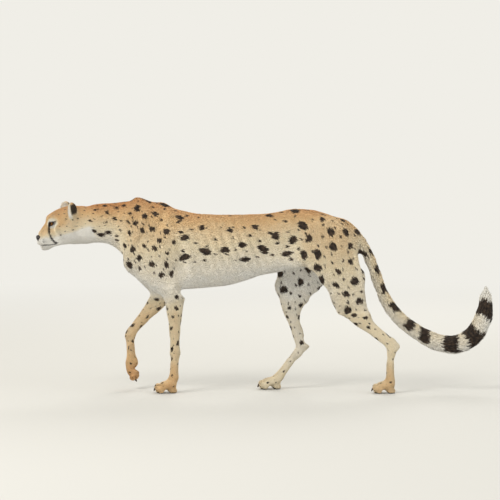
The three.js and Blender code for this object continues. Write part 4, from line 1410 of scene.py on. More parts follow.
@dataclass
class Markings:
    """Ground colour, spots, bands and face lines on the skin's corners. Millimetres on the face."""

    far: float = -12.0  # value of "edge" away from all spots, in millimetres
    seed: int = 11
    bands: tuple[Band, ...] = (
        Band(0.030, 0.013, 75),
        Band(0.110, 0.016, 85),
        Band(0.196, 0.019, 95),
        Band(0.285, 0.022, 100),
        Band(0.374, 0.021, 115),
        Band(0.452, 0.023, 130),
        Band(0.570, 0.031, 150),
        Band(0.676, 0.031, 165),
        Band(0.792, 0.033, 180),
    )
    whisker_spot: float = 1.5  # radius of the dark spots that whiskers grow from
    tear: Line = (
        (149, 24, 40), (157, 27, 28), (163, 30, 12), (163, 33, -8), (157, 35, -24), (149, 36, -36),
    )
    lip_fold: Line = ((208, 0, -12), (205, 0, -26))
    cheek: Line = (
        (118, 50, 36), (96, 54, 22), (72, 54, 10), (50, 52, 2),
    )
    far_from_eye: float = 9.0  # value of "opening" away from the eyes
    eye_reach: Pair = (2, 30)  # where the lids lie: ahead of the eye's middle, and near
    lid_rim: Pair = (1.15, 1.75)  # where the black rim of the opening ends, from 1
    lid_bare: Pair = (1.25, 1.5)  # where hair begins
    hollow: float = 17.6  # radius of the bare hollow behind the lids
    lip_edge: Pair = (1.2, 2.8)  # how far the dark lips reach from their line
    ear_back: Pair = (0.25, -0.15)  # how the skin faces forwards where the black of the ear begins
    ear_base: Pair = (46, 56)  # height where it begins over the ear's pale base
    ear_tip: Pair = (96, 86)  # and where it ends under the pale tip
    under_nose: Lump = Lump((204, 0, 3), (14.5, 18.5, 13))  # the skin that the nose pad covers
    pads: float = 8 * MM  # height up to which the soles are bare
    feet: float = 30 * MM  # height up to which the feet have no spots
    uneven: Pair = (0.11, 0.08)  # how far a spot's rim departs from an oval
    tilt: float = 0.35  # how much spots turn away from the lie, in radians
    sizes: Pair = (0.72, 1.15)  # smallest and largest spot, as shares of the hide's
    scatter: Pair = (0.85, 1.2)  # the same for their distances and their lengths
    small: Pair = (0.62, 0.36)  # distance and radius of the small spots between
    wobble: float = 6 * MM  # how far the bands of the tail waver
    tail_girth: float = 24 * MM  # radius of the tail, for the ends of the open bands
    limb_tones: tuple[tuple[str, float], ...] = (("fore", 0.36), ("shank", 0.30), ("hind", 0.30))
    lifted_tone: float = 0.60  # ground colour of the lifted foreleg, seen from inside

    def paint(self, ground: Ground, lie: Array, eye: Eye, mouth: Mouth) -> dict[str, Array]:
        """Work out all the markings.

        Args:
            ground: the skin's corners.
            lie: the direction of the hair at each.
            eye: sizes of the eyes.
            mouth: sizes of the mouth.

        Returns:
            The numbers by name: "warm" from white to orange, "edge" inside a spot in millimetres,
            "dark" for black lines and bare skin, and "bare" for where no hair grows.
        """
        self.ground = ground
        self.dice = np.random.default_rng(self.seed)
        self.eye_at = ground.eye_places(eye)
        self.opening = self.from_opening(eye)
        warm = self.warmth()
        self.edge = np.full(len(warm), self.far)
        self.spot_all(warm, lie)
        self.band_tail()
        lips = self.lips(mouth)
        lines = self.face_lines() + self.whisker_spots(Whiskers())
        dark = np.clip(lines + self.lids() + lips + self.ears() + self.soles(), 0, 1)
        bare = np.clip(self.bare_eye() + 1.2 * lips + self.soles() + self.behind_nose(), 0, 1)
        return {"warm": warm, "edge": self.edge, "dark": dark, "bare": bare}

    def from_opening(self, eye: Eye) -> Array:
        """How far corners lie outside the opening of the lids: 1 at its rim, larger outside.

        Args:
            eye: sizes of the eye.

        Returns:
            One number for each corner, large away from the eyes.
        """
        ahead, out, up = self.eye_at.T
        tilt = math.radians(eye.corners.turn[0])
        along = out * math.cos(tilt) + up * math.sin(tilt)
        across = up * math.cos(tilt) - out * math.sin(tilt)
        almond = np.hypot(along / eye.corners.radii[1], across / eye.corners.radii[2])
        oval = np.hypot(out / eye.opening.radii[1], (up - eye.opening.at[2]) / eye.opening.radii[2])
        least, most = self.eye_reach
        front = (ahead > least) & (np.linalg.norm(self.eye_at, axis=1) < most)
        return np.where(front, np.minimum(almond, oval), self.far_from_eye)

    def warmth(self) -> Array:
        """Ground colour of the coat, warmer above and outside, paler below and inside.

        Returns:
            One number for each corner, from 0 for white to 1 for orange.
        """
        ground = self.ground
        normals = unit(ground.web.blur(ground.normals, 30))
        height = ground.points[:, 2]
        up = normals[:, 2]
        warm = 0.42 + 0.26 * up + 0.55 * ((height - 0.47) / 0.30 - 0.5)
        neck = ground.part("neck")
        warm[neck] = (0.42 + 0.46 * up + 0.3 * ((height - 0.57) / 0.17 - 0.5))[neck]
        for side in Side:
            outer = normals[:, 1] * -side.value
            warm[ground.part(side.node("shoulder"))] += 0.06
            thigh = ground.part(side.node("thigh"))
            warm[thigh] = (0.22 + 1.25 * np.maximum(height - 0.50, -0.06) + 0.20 * outer)[thigh]
            for name, middle in self.limb_tones:
                limb = ground.part(side.node(name))
                warm[limb] = (middle + 0.55 * middle * outer)[limb]
        warm[ground.part("right_forearm", LIFTED_PAW)] = self.lifted_tone
        elbow = 0.20 * ramp(0.30, 0.38, height)
        warm[ground.part("forearm")] -= elbow[ground.part("forearm")]
        toes = 0.20 * ramp(0.17, 0.05, height)
        warm[ground.part("paw")] += toes[ground.part("paw")]
        tail = ground.part("tail")
        fade = 1 - ramp(60, 135, self.round_tail())
        warm[tail] = ((0.72 - 0.42 * ramp(0.0, 0.6, ground.along_tail)) * fade)[tail]
        warm[tail & (ground.along_tail > self.bands[-1].at)] = 0.04
        warm = ground.web.blur(warm, 60)
        head = ground.part("head", "_ear")
        warm[head] = self.face_warmth(up)[head]
        return np.clip(ground.web.blur(warm, 14), 0, 1)

    def face_warmth(self, up: Array) -> Array:
        """Ground colour of the head: warm above, pale round mouth, eyes and throat.

        Args:
            up: how far the skin faces upwards.

        Returns:
            One number for each corner.
        """
        ahead, _, high = self.ground.local.T
        warm = 0.44 + 0.24 * up + 0.18 * ramp(0, 50, high)
        warm -= 0.62 * ramp(-2, -26, high)  # jaw and throat
        warm -= 0.40 * ramp(160, 184, ahead) * ramp(10, -6, high)  # upper lip
        around = np.linalg.norm(self.eye_at[:, 1:] * (0.8, 1.0), axis=1)
        warm -= 0.55 * ramp(24, 15, around) * (self.eye_at[:, 0] > 0)  # round the eyes
        inside = self.ground.part("_ear") * (self.facing()[:, 0] > 0.05)
        return warm - 0.5 * inside

    def facing(self) -> Array:
        """Where the skin faces, in the head's axes."""
        return self.ground.normals @ self.ground.head.axes

    def round_tail(self) -> Array:
        """How far round the tail each corner lies.

        Returns:
            Angles from the tail's upper side, in degrees.
        """
        ground = self.ground
        heading = ground.tail_heading
        above = unit(np.stack([-heading[:, 2], np.zeros(len(heading)), heading[:, 0]], axis=1))
        out = unit(ground.points - ground.tail_middle)
        return np.degrees(np.arccos(np.clip(np.einsum("ij,ij->i", out, above), -1, 1)))

    def spot_all(self, warm: Array, lie: Array) -> None:
        """Strew large spots over body, legs and head, and small ones between them.

        Args:
            warm: the ground colour; white parts keep free of spots.
            lie: the direction of the hair.
        """
        ground = self.ground
        spacing, radius = ground.hide("spots", 6), ground.hide("spot", 6)
        ahead, _, high = ground.local.T
        face = ground.part("head") & ((ahead > 128) | (high < -20) | (self.opening < 3.2))
        plain_tail = ground.part("tail") & (
            (ground.along_tail > self.bands[0].at - 0.02) | (self.round_tail() > 118)
        )
        feet = ground.points[:, 2] < self.feet
        legs = ground.part("thigh", "shank", "forearm")
        allowed = ((warm > 0.20) | legs) & ~face & ~plain_tail & ~feet & ~ground.part("_ear")
        x, _, z = ground.points.T
        # The spots are small and thin over the saddle.
        saddle = ramp(-0.34, -0.22, x) * ramp(0.10, -0.04, x) * ramp(0.63, 0.69, z)
        spacing = spacing * (1 + 0.20 * saddle)
        radius = radius * (1 - 0.45 * saddle)
        # They stand close on throat and breast, and are small on the breast.
        throat = ground.part("neck") * ramp(0.030, 0.012, np.abs(z - 0.628))
        breast = ground.part("trunk") * ramp(-0.44, -0.52, x)
        spacing = spacing * (1 - 0.35 * throat - 0.40 * breast)
        radius = radius * (1 + 0.4 * throat - 0.50 * breast)
        # They are long on the belly.
        low = ground.part("trunk") * ramp(0.62, 0.56, z)
        self.strew(allowed, spacing, radius, lie, 1.15 + 0.5 * low)
        small = allowed & (self.edge < -0.32 * radius / MM - 4)
        closer, smaller = self.small
        self.strew(small, spacing * closer, radius * smaller, lie, np.full(len(warm), 1.2))

    def strew(self, allowed: Array, spacing: Array, radius: Array, lie: Array, stretch: Array) -> None:
        """Place spots at random with even spacing.

        Args:
            allowed: which corners may be the middle of a spot.
            spacing: least distance to the next spot.
            radius: size of a spot.
            lie: the direction of the hair.
            stretch: how much longer than wide a spot is.
        """
        points = self.ground.points
        free = allowed.copy()
        for middle in self.dice.permutation(np.flatnonzero(allowed)):
            if not free[middle]:
                continue
            distance = np.linalg.norm(points - points[middle], axis=1)
            free &= distance > spacing[middle] * self.dice.uniform(*self.scatter)
            size = radius[middle] * self.dice.uniform(*self.sizes)
            near = np.flatnonzero(distance < size * 3)
            longer = stretch[middle] * self.dice.uniform(*self.scatter)
            self.stamp(middle, near, size, lie[middle], longer)

    def stamp(self, middle: int, near: Array, size: float, lie: Array, stretch: float) -> None:
        """Mark one uneven spot on the corners near it.

        Args:
            middle: the corner in its middle.
            near: the corners that it may reach.
            size: its radius.
            lie: the direction of the hair there.
            stretch: how much longer than wide it is.
        """
        ground = self.ground
        normal = ground.normals[middle]
        turn = self.dice.normal(0, self.tilt)
        across = np.cross(normal, lie)
        first = lie * math.cos(turn) + across * math.sin(turn)
        second = np.cross(normal, first)
        away = ground.points[near] - ground.points[middle]
        u = away @ first / (size * math.sqrt(stretch))
        v = away @ second / (size / math.sqrt(stretch))
        angle = np.arctan2(v, u)
        phases = self.dice.uniform(0, 2 * math.pi, 2)
        rim = np.ones(len(near))
        for waves, height, phase in zip((2, 3), self.uneven, phases):
            rim += height * np.cos(waves * angle + phase)
        inside = (1 - np.hypot(u, v) / rim) * size / MM
        same_side = ground.normals[near] @ normal > 0.1
        self.edge[near] = np.where(same_side, np.maximum(self.edge[near], inside), self.edge[near])

    def band_tail(self) -> None:
        """Mark the bands of the tail, which close to rings towards its end."""
        ground = self.ground
        around = self.round_tail()
        side = np.sign(ground.points[:, 1] - ground.tail_middle[:, 1])
        tail = ground.part("tail")
        for number, band in enumerate(self.bands):
            shift = self.wobble * np.sin(np.radians(around) * 2 * side + number * 1.7)
            along = band.half - np.abs(ground.along_tail + shift - band.at)
            across = np.radians(band.round - around) * self.tail_girth
            inside = np.minimum(along, np.where(band.round >= 180, 1.0, across)) / MM
            self.edge[tail] = np.maximum(self.edge, inside)[tail]

    def near_line(self, line: Sequence[Sequence[float]], width: float) -> Array:
        """1 on a line over both sides of the face, fading to 0 beside it.

        Args:
            line: its points in the head's axes, on the left side.
            width: half its width.

        Returns:
            One number for each corner.
        """
        places = self.ground.local * (1, 0.4, 1)
        places[:, 1] = np.abs(places[:, 1])
        path = np.array(line) * (1, 0.4, 1)
        best = np.full(len(places), np.inf)
        for a, b in zip(path[:-1], path[1:]):
            share = np.clip((places - a) @ (b - a) / np.dot(b - a, b - a), 0, 1)
            best = np.minimum(best, np.linalg.norm(places - a - share[:, None] * (b - a), axis=1))
        return 1 - ramp(width * 0.6, width * 1.4, best)

    def face_lines(self) -> Array:
        """The tear line from the eye to the mouth, and a finer line across the cheek."""
        head = self.ground.part("head")
        fine = 0.45 * self.near_line(self.cheek, 2.2) + 0.8 * self.near_line(self.lip_fold, 1.6)
        return head * (self.near_line(self.tear, 4.2) + fine)

    def whisker_spots(self, whiskers: "Whiskers") -> Array:
        """Small dark spots in rows on the upper lip.

        Args:
            whiskers: the hairs; one spot lies at the root of each.

        Returns:
            One number for each corner.
        """
        folded = self.ground.local.copy()
        folded[:, 1] = np.abs(folded[:, 1])
        spots = np.zeros(len(folded))
        for root in whiskers.roots():
            away = np.linalg.norm(folded - root, axis=1)
            spots = np.maximum(spots, ramp(self.whisker_spot * 1.8, self.whisker_spot, away))
        return 0.75 * spots

    def lids(self) -> Array:
        """The black rims of the lids."""
        return 1 - ramp(*self.lid_rim, self.opening)

    def bare_eye(self) -> Array:
        """The hollow behind the lids and their hairless rims."""
        hollow = np.linalg.norm(self.eye_at, axis=1) < self.hollow
        return hollow + (1 - ramp(*self.lid_bare, self.opening))

    def lips(self, mouth: Mouth) -> Array:
        """The dark bare edge of the lips."""
        local = self.ground.local
        near = 1 - ramp(*self.lip_edge, np.abs(mouth.above(local)))
        return near * mouth.reach(local) * self.ground.part("head")

    def behind_nose(self) -> Array:
        """The skin that the nose pad covers."""
        away = (self.ground.local - self.under_nose.at) / self.under_nose.radii
        return (np.linalg.norm(away, axis=1) < 1) * self.ground.part("head")

    def ears(self) -> Array:
        """The black backs of the ears, with a pale tip and base.

        Returns:
            One number for each corner.
        """
        ear = self.ground.part("_ear")
        high = self.ground.local[:, 2]
        back = ramp(*self.ear_back, self.facing()[:, 0])
        return 0.95 * ear * back * ramp(*self.ear_base, high) * ramp(*self.ear_tip, high)

    def soles(self) -> Array:
        """The bare black pads under the feet."""
        under = self.ground.normals[:, 2] < -0.55
        return (under & (self.ground.points[:, 2] < self.pads)).astype(float)


# ---------- Coat ----------
@dataclass
class Coat:
    """Short flat fur as small solid tufts that overlap along the body."""

    cover: float = 1.52  # how many tufts lie over each other
    blend: int = 40  # how far the tufts' sizes are spread over the joins
    seed: int = 23
    patch: float = 0.003  # size of a tuft's patch in the "OFBake" map
    sunk: float = 0.30  # how deep a root sits in the skin, as a share of the tuft's width
    swing: float = 0.16  # how much tufts stray from the lie, in radians
    lengths: Pair = (0.72, 1.2)  # shortest and longest, as shares of the hide's
    widths: Pair = (0.75, 1.2)
    lifts: Pair = (0.6, 1.3)
    level: float = 0.15  # how much of its lift a tuft keeps from the middle to the tip
    foot: Pair = (0.36, 0.24)  # half the width and the height at the root, in widths
    waist: Pair = (0.5, 0.17)  # and in the middle
    whorl: Pair = (0.02, 0.35)  # how far directions part where hair gets short
    whorl_cut: float = 0.65  # share of its length that it loses there

    CORNERS = 7
    FACES = ((0, 1, 2), (0, 3, 4, 1), (0, 2, 5, 3), (1, 4, 5, 2), (3, 6, 4), (3, 5, 6), (4, 6, 5))
    ALONG = (0.0, 0.0, 0.0, 0.5, 0.5, 0.5, 1.0)
    ACROSS = (1.0, -1.0, 0.0, 1.0, -1.0, 0.0, 0.0)

    def build(self, ground: Ground, lie: Array, marks: dict[str, Array]) -> list[Object]:
        """Grow the coat.

        Args:
            ground: the skin's corners.
            lie: the direction of the hair at each.
            marks: the markings at each.

        Returns:
            The coat's pieces, one for each region of the body.
        """
        dice = np.random.default_rng(self.seed)
        roots = self.roots(ground, marks["bare"], dice)
        tufts = self.shape(ground, lie, roots, dice)
        values = {name: roots.read(marks[name]) for name in ("warm", "edge", "dark")}
        values["shade"] = dice.uniform(0, 1, len(tufts))
        regions = self.regions(ground, roots)
        made = []
        for name in sorted(set(regions)):
            mine = regions == name
            picked = {key: value[mine] for key, value in values.items()}
            made.append(self.piece(f"coat_{name}", tufts[mine], picked, roots.uv[mine]))
            log.info("%s: %d tufts", made[-1].name, mine.sum())
        return made

    def roots(self, ground: Ground, bare: Array, dice: np.random.Generator) -> "Roots":
        """Choose where tufts grow, denser where they are small.

        Args:
            ground: the skin's corners.
            bare: 1 where no hair grows.
            dice: the source of chance.

        Returns:
            The roots.
        """
        mesh = ground.mesh
        mesh.calc_loop_triangles()
        corners, loops = (rows_of(mesh.loop_triangles, n, 3, np.int64) for n in ("vertices", "loops"))
        areas = rows_of(mesh.loop_triangles, "area")
        tuft = ground.hide("hair", self.blend) * ground.hide("width", self.blend) * 0.5
        density = self.cover / tuft * (1 - bare)
        wanted = np.cumsum(areas * density[corners].mean(axis=1))
        total = int(wanted[-1])
        aims = np.arange(total) + dice.uniform(0, 1, total)
        picks = np.searchsorted(wanted, aims * wanted[-1] / total)
        picks = np.minimum(picks, len(areas) - 1)
        first, second = dice.uniform(0, 1, (2, total))
        flip = first + second > 1
        first, second = np.where(flip, 1 - first, first), np.where(flip, 1 - second, second)
        shares = np.stack([1 - first - second, first, second], axis=1)
        unwrap = rows_of(mesh.uv_layers["OFBake"].data, "uv", 2)
        uv = np.einsum("ij,ijk->ik", shares, unwrap[loops[picks]])
        return Roots(corners[picks], shares, uv)

    def shape(self, ground: Ground, lie: Array, roots: "Roots", dice: np.random.Generator) -> Array:
        """Shape each tuft.

        Args:
            ground: the skin's corners.
            lie: the direction of the hair.
            roots: where the tufts grow.
            dice: the source of chance.

        Returns:
            The corners of every tuft.
        """
        count = len(roots.corners)
        start = roots.read(ground.points)
        normal = unit(roots.read(ground.normals))
        length, width, lift = (
            roots.read(ground.hide(measure, self.blend)) for measure in ("hair", "width", "lift")
        )
        parted = 1 - np.linalg.norm(roots.read(ground.web.blur(lie, 8)), axis=1)
        length = length * (1 - self.whorl_cut * ramp(*self.whorl, parted))
        length = length * dice.uniform(*self.lengths, count)
        width = width * dice.uniform(*self.widths, count)
        lift = np.radians(lift) * dice.uniform(*self.lifts, count)
        stray = dice.normal(0, self.swing, count)[:, None]
        along = unit(roots.read(lie))
        side = np.cross(normal, along)
        along = unit(along * np.cos(stray) + side * np.sin(stray))
        side = unit(np.cross(normal, along))
        rise, flat = np.sin(lift)[:, None], np.cos(lift)[:, None]
        half = length[:, None] * 0.5
        wide = width[:, None]
        root = start - normal * wide * self.sunk
        middle = start + (along * flat + normal * rise) * half
        tip = middle + (along + normal * rise * self.level) * half
        spread = side * wide
        corners = []
        for place, (broad, high) in ((root, self.foot), (middle, self.waist)):
            corners += [place + spread * broad, place - spread * broad, place + normal * wide * high]
        return np.stack([*corners, tip], axis=1)

    def regions(self, ground: Ground, roots: "Roots") -> Array:
        """Name of the coat piece that each tuft goes to.

        Args:
            ground: the skin's corners.
            roots: where the tufts grow.

        Returns:
            One name for each tuft.
        """
        owner = ground.owners[roots.corners[:, 0]]
        start = roots.read(ground.points)
        side = np.where(start[:, 1] < 0, "left", "right")
        split = float(np.median(start[owner == ground.nodes.index("trunk"), 0]))
        end = np.where(start[:, 0] < split, "front", "rear")
        names = np.empty(len(owner), dtype=object)
        for number, node in enumerate(ground.nodes):
            mine = owner == number
            kind = kind_of(node)
            if kind == "trunk":
                names[mine] = np.char.add(np.char.add(side, "_"), end)[mine]
            elif kind in ("head", "ear"):
                names[mine] = np.char.add(side, "_head")[mine]
            elif kind in ("neck", "tail"):
                names[mine] = kind
            else:
                upper = kind in ("shoulder", "thigh")
                fore = kind == "shoulder" or "fore" in node
                leg = ("_foreleg" if fore else "_hind_leg") + ("_upper" if upper else "_lower")
                names[mine] = node.split("_")[0] + leg
        return names.astype(str)

    def piece(self, name: str, tufts: Array, values: dict[str, Array], uv: Array) -> Object:
        """Make one coat piece.

        Args:
            name: name of the piece.
            tufts: corners of its tufts.
            values: markings of each tuft by name.
            uv: place of each root on the skin's unwrap.

        Returns:
            The piece.
        """
        count = len(tufts)
        sizes = np.array([len(f) for f in self.FACES])
        order = np.concatenate([np.array(f) for f in self.FACES])
        mesh = bpy.data.meshes.new(name)
        mesh.vertices.add(count * self.CORNERS)
        mesh.vertices.foreach_set("co", tufts.ravel())
        mesh.loops.add(count * len(order))
        corners = (np.arange(count) * self.CORNERS)[:, None] + order
        mesh.loops.foreach_set("vertex_index", corners.ravel().astype(np.int32))
        mesh.polygons.add(count * len(sizes))
        starts = np.arange(count)[:, None] * len(order) + np.concatenate([[0], np.cumsum(sizes)[:-1]])
        mesh.polygons.foreach_set("loop_start", starts.ravel().astype(np.int32))
        mesh.update(calc_edges=True)
        along, across = np.array(self.ALONG), np.array(self.ACROSS)
        layer = mesh.uv_layers.new(name="OFBake")
        patch = np.stack([across[order] * 0.5, along[order] - 0.5], axis=1) * self.patch
        layer.data.foreach_set("uv", (uv[:, None, :] + patch).ravel().astype(np.float32))
        for key, value in values.items():
            store(mesh, key, np.repeat(value, self.CORNERS))
        store(mesh, "along", np.tile(along, count))
        store(mesh, "across", np.tile(across, count))
        return shaded(placed(name, mesh))


@dataclass
class Roots:
    """Where tufts grow: on which triangle of the skin, where in it, and where on its unwrap."""

    corners: Array
    shares: Array
    uv: Array

    def read(self, values: Array) -> Array:
        """The skin's values at the roots.

        Args:
            values: one row or number for each corner of the skin.

        Returns:
            One row or number for each root.
        """
        if values.ndim == 1:
            return np.einsum("ij,ij->i", self.shares, values[self.corners])
        return np.einsum("ij,ijk->ik", self.shares, values[self.corners])


# ---------- Materials ----------
class Value:
    """A number inside a material, on which sums can be written."""

    def __init__(self, paint: "Paint", socket: Socket) -> None:
        """Wrap a node's output.

        Args:
            paint: the material it belongs to.
            socket: the output.
        """
        self.paint = paint
        self.socket = socket

    def math(self, operation: str, *others: object) -> "Value":
        """The result of one Math node.

        Args:
            operation: Blender's name of the operation.
            others: the further inputs.

        Returns:
            The result.
        """
        inputs = dict(enumerate([self, *others]))
        node = self.paint.node("ShaderNodeMath", {"operation": operation}, inputs)
        return Value(self.paint, node.outputs[0])

    def __add__(self, other: object) -> "Value":
        """Sum of two numbers."""
        return self.math("ADD", other)

    __radd__ = __add__

    def __mul__(self, other: object) -> "Value":
        """Product of two numbers."""
        return self.math("MULTIPLY", other)

    __rmul__ = __mul__

    def __sub__(self, other: object) -> "Value":
        """Difference of two numbers."""
        return self.math("SUBTRACT", other)

    def __rsub__(self, other: object) -> "Value":
        """Difference of two numbers, this one taken away."""
        return (self * -1.0) + other

    def step(self, low: float, high: float) -> "Value":
        """A smooth step from 0 at low to 1 at high.

        Args:
            low: where the step starts.
            high: where it ends.

        Returns:
            The step's height.
        """
        settings = {"interpolation_type": "SMOOTHSTEP"}
        node = self.paint.node("ShaderNodeMapRange", settings, {0: self, 1: low, 2: high})
        return Value(self.paint, node.outputs[0])


class Paint:
    """A procedural material in the making."""

    def __init__(self, name: str) -> None:
        """Start a material with only its output and one shader.

        Args:
            name: name of the material.
        """
        self.material = bpy.data.materials.new(name)
        self.material.use_nodes = True
        self.tree = self.material.node_tree
        self.shader = next(n for n in self.tree.nodes if n.type == "BSDF_PRINCIPLED")

    def node(
        self, kind: str, settings: dict[str, object], inputs: dict[object, object]
    ) -> bpy.types.Node:
        """Add a node.

        Args:
            kind: Blender's type name.
            settings: the node's own settings.
            inputs: values or sockets for its inputs, by name or number.

        Returns:
            The new node.
        """
        node = self.tree.nodes.new(kind)
        for name, value in settings.items():
            setattr(node, name, value)
        for name, value in inputs.items():
            self.join(node.inputs[name], value)
        return node

    def join(self, target: Socket, value: object) -> None:
        """Feed an input.

        Args:
            target: the input.
            value: a socket, a Value or a constant.
        """
        source = value.socket if isinstance(value, Value) else value
        if isinstance(source, Socket):
            self.tree.links.new(source, target)
        else:
            target.default_value = source

    def attribute(self, name: str) -> Value:
        """A number kept on the mesh's corners."""
        node = self.node("ShaderNodeAttribute", {"attribute_name": name}, {})
        return Value(self, node.outputs["Fac"])

    def place(self, *stretch: float) -> Socket:
        """The object's own coordinates, scaled along each axis."""
        source = self.node("ShaderNodeTexCoord", {}, {}).outputs["Object"]
        node = self.node("ShaderNodeVectorMath", {"operation": "MULTIPLY"}, {0: source, 1: stretch})
        return node.outputs[0]

    def noise(
        self, scale: float, detail: float = 2.0, where: Socket | None = None
    ) -> Value:
        """A noise between 0 and 1, in the object's own coordinates unless others are given.

        Args:
            scale: how fine the noise is, in waves per metre.
            detail: how many finer layers it has.
            where: other coordinates to read it at.

        Returns:
            The noise.
        """
        spot = where or self.place(1, 1, 1)
        node = self.node("ShaderNodeTexNoise", {}, {"Vector": spot, "Scale": scale, "Detail": detail})
        return Value(self, node.outputs[0])

    def wander(self, scale: float, height: float, detail: float = 2.0) -> Value:
        """A noise around zero, of this height from its lowest to its highest point."""
        return (self.noise(scale, detail) - 0.5) * height

    def mix(
        self, share: object, first: object, second: object, blend: str = "MIX"
    ) -> Socket:
        """Two colours mixed.

        Args:
            share: how much of the second colour there is.
            first: the first colour.
            second: the second colour.
            blend: Blender's name of the way to mix.

        Returns:
            The mixed colour.
        """
        settings = {"data_type": "RGBA", "blend_type": blend, "clamp_factor": True}
        node = self.node("ShaderNodeMix", settings, {0: share, 6: first, 7: second})
        return node.outputs[2]

    def grey(self, level: Value) -> Socket:
        """A grey of this level as a colour."""
        return self.node("ShaderNodeCombineColor", {}, {0: level, 1: level, 2: level}).outputs[0]

    def steps(
        self, value: Value, colours: Sequence[tuple[float, Sequence[float]]]
    ) -> Socket:
        """A colour read from a row of colours.

        Args:
            value: where to read, from 0 to 1.
            colours: each colour with its place in the row.

        Returns:
            The colour.
        """
        node = self.node("ShaderNodeValToRGB", {}, {0: value})
        stops = node.color_ramp.elements
        while len(stops) < len(colours):
            stops.new(1.0)
        for stop, (at, colour) in zip(stops, colours):
            stop.position = at
            stop.color = colour
        return node.outputs[0]

    def bump(self, height: Value, depth: float, strength: float = 1.0) -> None:
        """Give the shader fine relief.

        Args:
            height: the relief, from 0 to 1.
            depth: height of the relief in metres.
            strength: share of it that shows.
        """
        inputs = {"Height": height, "Distance": depth, "Strength": strength}
        self.join(self.shader.inputs["Normal"], self.node("ShaderNodeBump", {}, inputs).outputs[0])

    def finish(self, **inputs: object) -> Material:
        """Set the shader's inputs, their names written with underscores, and return the material."""
        for name, value in inputs.items():
            self.join(self.shader.inputs[name.replace("_", " ")], value)
        return self.material


def srgb(red: int, green: int, blue: int) -> Colour:
    """A colour from its screen values of 0 to 255, as Blender's shaders want it."""
    parts = [c / 255 for c in (red, green, blue)]
    linear = [c / 12.92 if c <= 0.04045 else ((c + 0.055) / 1.055) ** 2.4 for c in parts]
    return (*linear, 1.0)


@dataclass(frozen=True)
class FurLook:
    """Colours and surface of the coat, on skin and tufts alike."""

    white: Colour = srgb(241, 238, 231)
    cream: Colour = srgb(236, 221, 190)
    tan: Colour = srgb(225, 190, 142)
    orange: Colour = srgb(208, 150, 96)
    black: Colour = srgb(44, 36, 31)
    brown: Colour = srgb(84, 68, 55)
    bare: Colour = srgb(26, 21, 20)
    roughness: float = 0.72
    gloss: float = 0.28
    places: tuple[float, ...] = (0.0, 0.40, 0.68, 0.94)  # of white, cream, tan and orange
    patches: tuple[Pair, ...] = ((7, 0.20), (48, 0.14))  # fineness and strength
    ragged: Pair = (70, 5.0)  # fineness and depth of the spots' uneven rims
    rim: float = 1.1  # half the width of the spots' soft rims, in millimetres
    pores: Triple = (420, 1.2 * MM, 0.6)  # fineness, depth and share of relief
    ridges: Pair = (0.4 * MM, 0.7)  # depth and share of the tufts' relief

    def build(self, on_skin: bool) -> Material:
        """Make the material.

        Args:
            on_skin: whether it is the skin under the tufts.

        Returns:
            The material.
        """
        paint = Paint("skin" if on_skin else "fur")
        warm = paint.attribute("warm")
        for scale, height in self.patches:
            warm = warm + paint.wander(scale, height)
        colours = (self.white, self.cream, self.tan, self.orange)
        coat = paint.steps(warm, list(zip(self.places, colours)))
        edge = paint.attribute("edge") + paint.wander(*self.ragged, 3)
        spot = paint.mix(paint.noise(90).step(0.35, 0.75), self.black, self.brown)
        colour = paint.mix(edge.step(-self.rim, self.rim), coat, spot)
        colour = paint.mix(paint.attribute("dark"), colour, self.bare)
        if on_skin:
            fineness, depth, share = self.pores
            paint.bump(paint.noise(fineness, 2, paint.place(0.35, 1, 1)), depth, share)
            # Painted shade: the skin between the tufts is darkened a little towards brown, for the
            # shade under the coat.
            colour = paint.mix(0.15, colour, self.brown, "MULTIPLY")
        else:
            strand = self.strands(paint)
            # Painted shade: each tuft is darker at its root, where the tufts overlap, and lighter
            # towards its tip along its strands. The shade attribute adds a random tone to each tuft.
            level = 0.84 + 0.12 * paint.attribute("shade") + 0.22 * paint.attribute("along") * strand
            colour = paint.mix(1.0, colour, paint.grey(level), "MULTIPLY")
            paint.bump(strand, *self.ridges)
        return paint.finish(
            Base_Color=colour, Roughness=self.roughness, Specular_IOR_Level=self.gloss
        )

    @staticmethod
    def strands(paint: Paint) -> Value:
        """Fine hairs along a tuft.

        Args:
            paint: the material that shows them.

        Returns:
            Their relief, from 0 to 1.
        """
        across = paint.attribute("across") * 2.6
        along = paint.attribute("along") * 0.7
        shade = paint.attribute("shade") * 60.0
        where = paint.node("ShaderNodeCombineXYZ", {}, {0: across, 1: along, 2: shade}).outputs[0]
        return paint.noise(1.0, 1.0, where).step(0.25, 0.75)


@dataclass(frozen=True)
class EyeLook:
    """A wet amber-brown eye with a round pupil. Distances from its middle in millimetres."""

    pupil: float = 4.7
    iris: float = 9.8
    amber: Colour = srgb(158, 104, 40)
    rust: Colour = srgb(74, 40, 18)
    rim: Colour = srgb(30, 18, 12)
    white: Colour = srgb(122, 96, 80)
    hole: Colour = srgb(4, 3, 3)

    def build(self) -> Material:
        """Make the material.

        Returns:
            The material.
        """
        paint = Paint("eye")
        reach = paint.attribute("reach")
        fibres = paint.noise(700, 3).step(0.3, 0.7)
        iris = paint.mix(reach.step(self.pupil, self.iris), self.amber, self.rust)
        iris = paint.mix(fibres * 0.45, iris, self.rust)
        colour = paint.mix(reach.step(self.iris - 1.3, self.iris - 0.2), iris, self.rim)
        colour = paint.mix(reach.step(self.iris + 0.4, self.iris + 2.4), colour, self.white)
        colour = paint.mix(reach.step(self.pupil + 0.25, self.pupil - 0.25), colour, self.hole)
        return paint.finish(
            Base_Color=colour, Roughness=0.25, Specular_IOR_Level=0.03,
            Coat_Weight=0.3, Coat_Roughness=0.03, Coat_IOR=1.33,
        )


